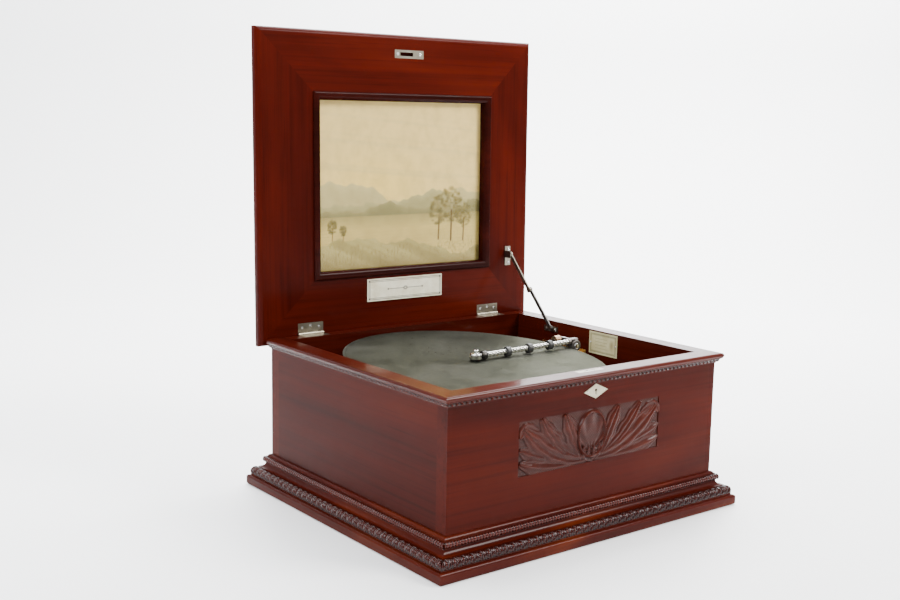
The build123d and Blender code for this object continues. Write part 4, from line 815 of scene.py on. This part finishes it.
scene_print = landscape()
printed("evening_print", scene_print,
        LID @ Matrix.Translation((4 - 161.5, 226 - 132.5, -11.62)), "lid", PRINT,
        "picture_print", "printed_paper", 0.76, warmth=(1.05, 1.16, 1.45))
plate = bordered(148.0, 36.0, (226, 221, 196), (44, 44, 38), 2.6, 2.2, True)
plate.line((40, 18), (108, 18), 0.8, (60, 58, 50), 0.9)
for cx in (40, 108):
    plate.blob(cx, 18, 1.5, 1.5, (60, 58, 50), 1)
plate.blob(74, 18, 4.2, 3.0, (60, 58, 50), 1)
plate.blob(74, 18, 2.6, 1.6, (226, 221, 196), 1)
printed("name_card", plate, LID @ Matrix.Translation((2.5 - 74, 58.8 - 18, 1.2)), "lid", CARD, "name_plate",
        "name_card", 1.18)
card = bordered(63.0, 36.0, (196, 190, 150), (96, 92, 62), 3.4, 1.6, False)
for k in range(4):
    card.line((14, 10 + 5.2 * k), (40, 10 + 5.2 * k), 0.7, (120, 112, 78), 0.6)
card.blob(50, 18, 4, 8, (142, 132, 92), 0.6)
to_wall = Matrix(((0, 0, -1, 226.3), (-1, 0, 0, -9.2 + 31.5), (0, 1, 0, 209.6 - 18), (0, 0, 0, 1)))
printed("wall_card", card, to_wall, "case", CARD, "tune_card", "tune_card", 0.68)


# ---------------------------------------------------------------- stage, light and camera
def stage():
    mat, tree, bsdf = shader("pale_table")
    cloud = noise(tree, 2.0)
    plug(tree, bsdf.inputs["Base Color"], mix(tree, cloud, (0.90, 0.905, 0.91), (0.93, 0.935, 0.94)))
    plug(tree, bsdf.inputs["Roughness"], 0.5)
    verts, n = [], 24
    prof = [(-4.0, 0.0), (1.6, 0.0)] + [(1.6 + 0.8 * math.sin(a), 0.8 - 0.8 * math.cos(a))
                                        for a in [math.pi / 2 * (i + 1) / n for i in range(n)]] + [(2.4, 6.0)]
    for x in (-7.0, 7.0):
        verts += [(x, y, z) for y, z in prof]
    k = len(prof)
    faces = [(i, i + 1, k + i + 1, k + i) for i in range(k - 1)]
    mesh = bpy.data.meshes.new("backdrop")
    mesh.from_pydata(verts, [], faces)
    mesh.materials.append(mat)
    mesh.polygons.foreach_set("use_smooth", [True] * len(mesh.polygons))
    obj = bpy.data.objects.new("backdrop", mesh)
    obj.rotation_euler = (0, 0, -0.62)
    bpy.context.scene.collection.objects.link(obj)


def light(name, at, target, size, power, color=(1, 1, 1)):
    data = bpy.data.lights.new(name, "AREA")
    data.shape, data.size, data.size_y = "RECTANGLE", *size
    data.energy, data.color = power, color
    obj = bpy.data.objects.new(name, data)
    obj.location = at
    obj.rotation_euler = (Vector(target) - Vector(at)).to_track_quat("-Z", "Y").to_euler()
    bpy.context.scene.collection.objects.link(obj)


def camera():
    yaw, pitch, roll, focal = 0.6567, 0.1561, 0.0185, 1189.9
    ahead = Vector((math.sin(yaw) * math.cos(pitch), math.cos(yaw) * math.cos(pitch), -math.sin(pitch)))
    right = Vector((math.cos(yaw), -math.sin(yaw), 0))
    up = right.cross(ahead)
    r2 = right * math.cos(roll) + up * math.sin(roll)
    u2 = -right * math.sin(roll) + up * math.cos(roll)
    data = bpy.data.cameras.new("camera")
    data.sensor_width = 36.0
    data.lens = focal * 36.0 / 900.0
    obj = bpy.data.objects.new("camera", data)
    obj.matrix_world = Matrix(((r2.x, u2.x, -ahead.x, -1.11487), (r2.y, u2.y, -ahead.y, -1.34492),
                               (r2.z, u2.z, -ahead.z, 0.57255), (0, 0, 0, 1)))
    bpy.context.scene.collection.objects.link(obj)
    bpy.context.scene.camera = obj


stage()
world = bpy.data.worlds.new("studio")
world.use_nodes = True
sky_light = world.node_tree.nodes["Background"]
sky_light.inputs["Color"].default_value = (0.93, 0.96, 1.0, 1)
sky_light.inputs["Strength"].default_value = 0.76
bpy.context.scene.world = world
light("key", (1.9, -2.2, 2.5), (0, 0, 0.2), (1.4, 1.4), 215, (1.0, 0.98, 0.95))
light("fill", (-2.8, -0.6, 2.4), (0, 0, 0.2), (1.8, 1.6), 135, (0.96, 0.98, 1.0))
light("top", (0.2, 1.0, 3.2), (0, 0.3, 0), (3.2, 2.2), 250)
light("wall", (1.5, 0.4, 2.4), (1.9, 3.0, 1.2), (2.0, 1.2), 270)
camera()
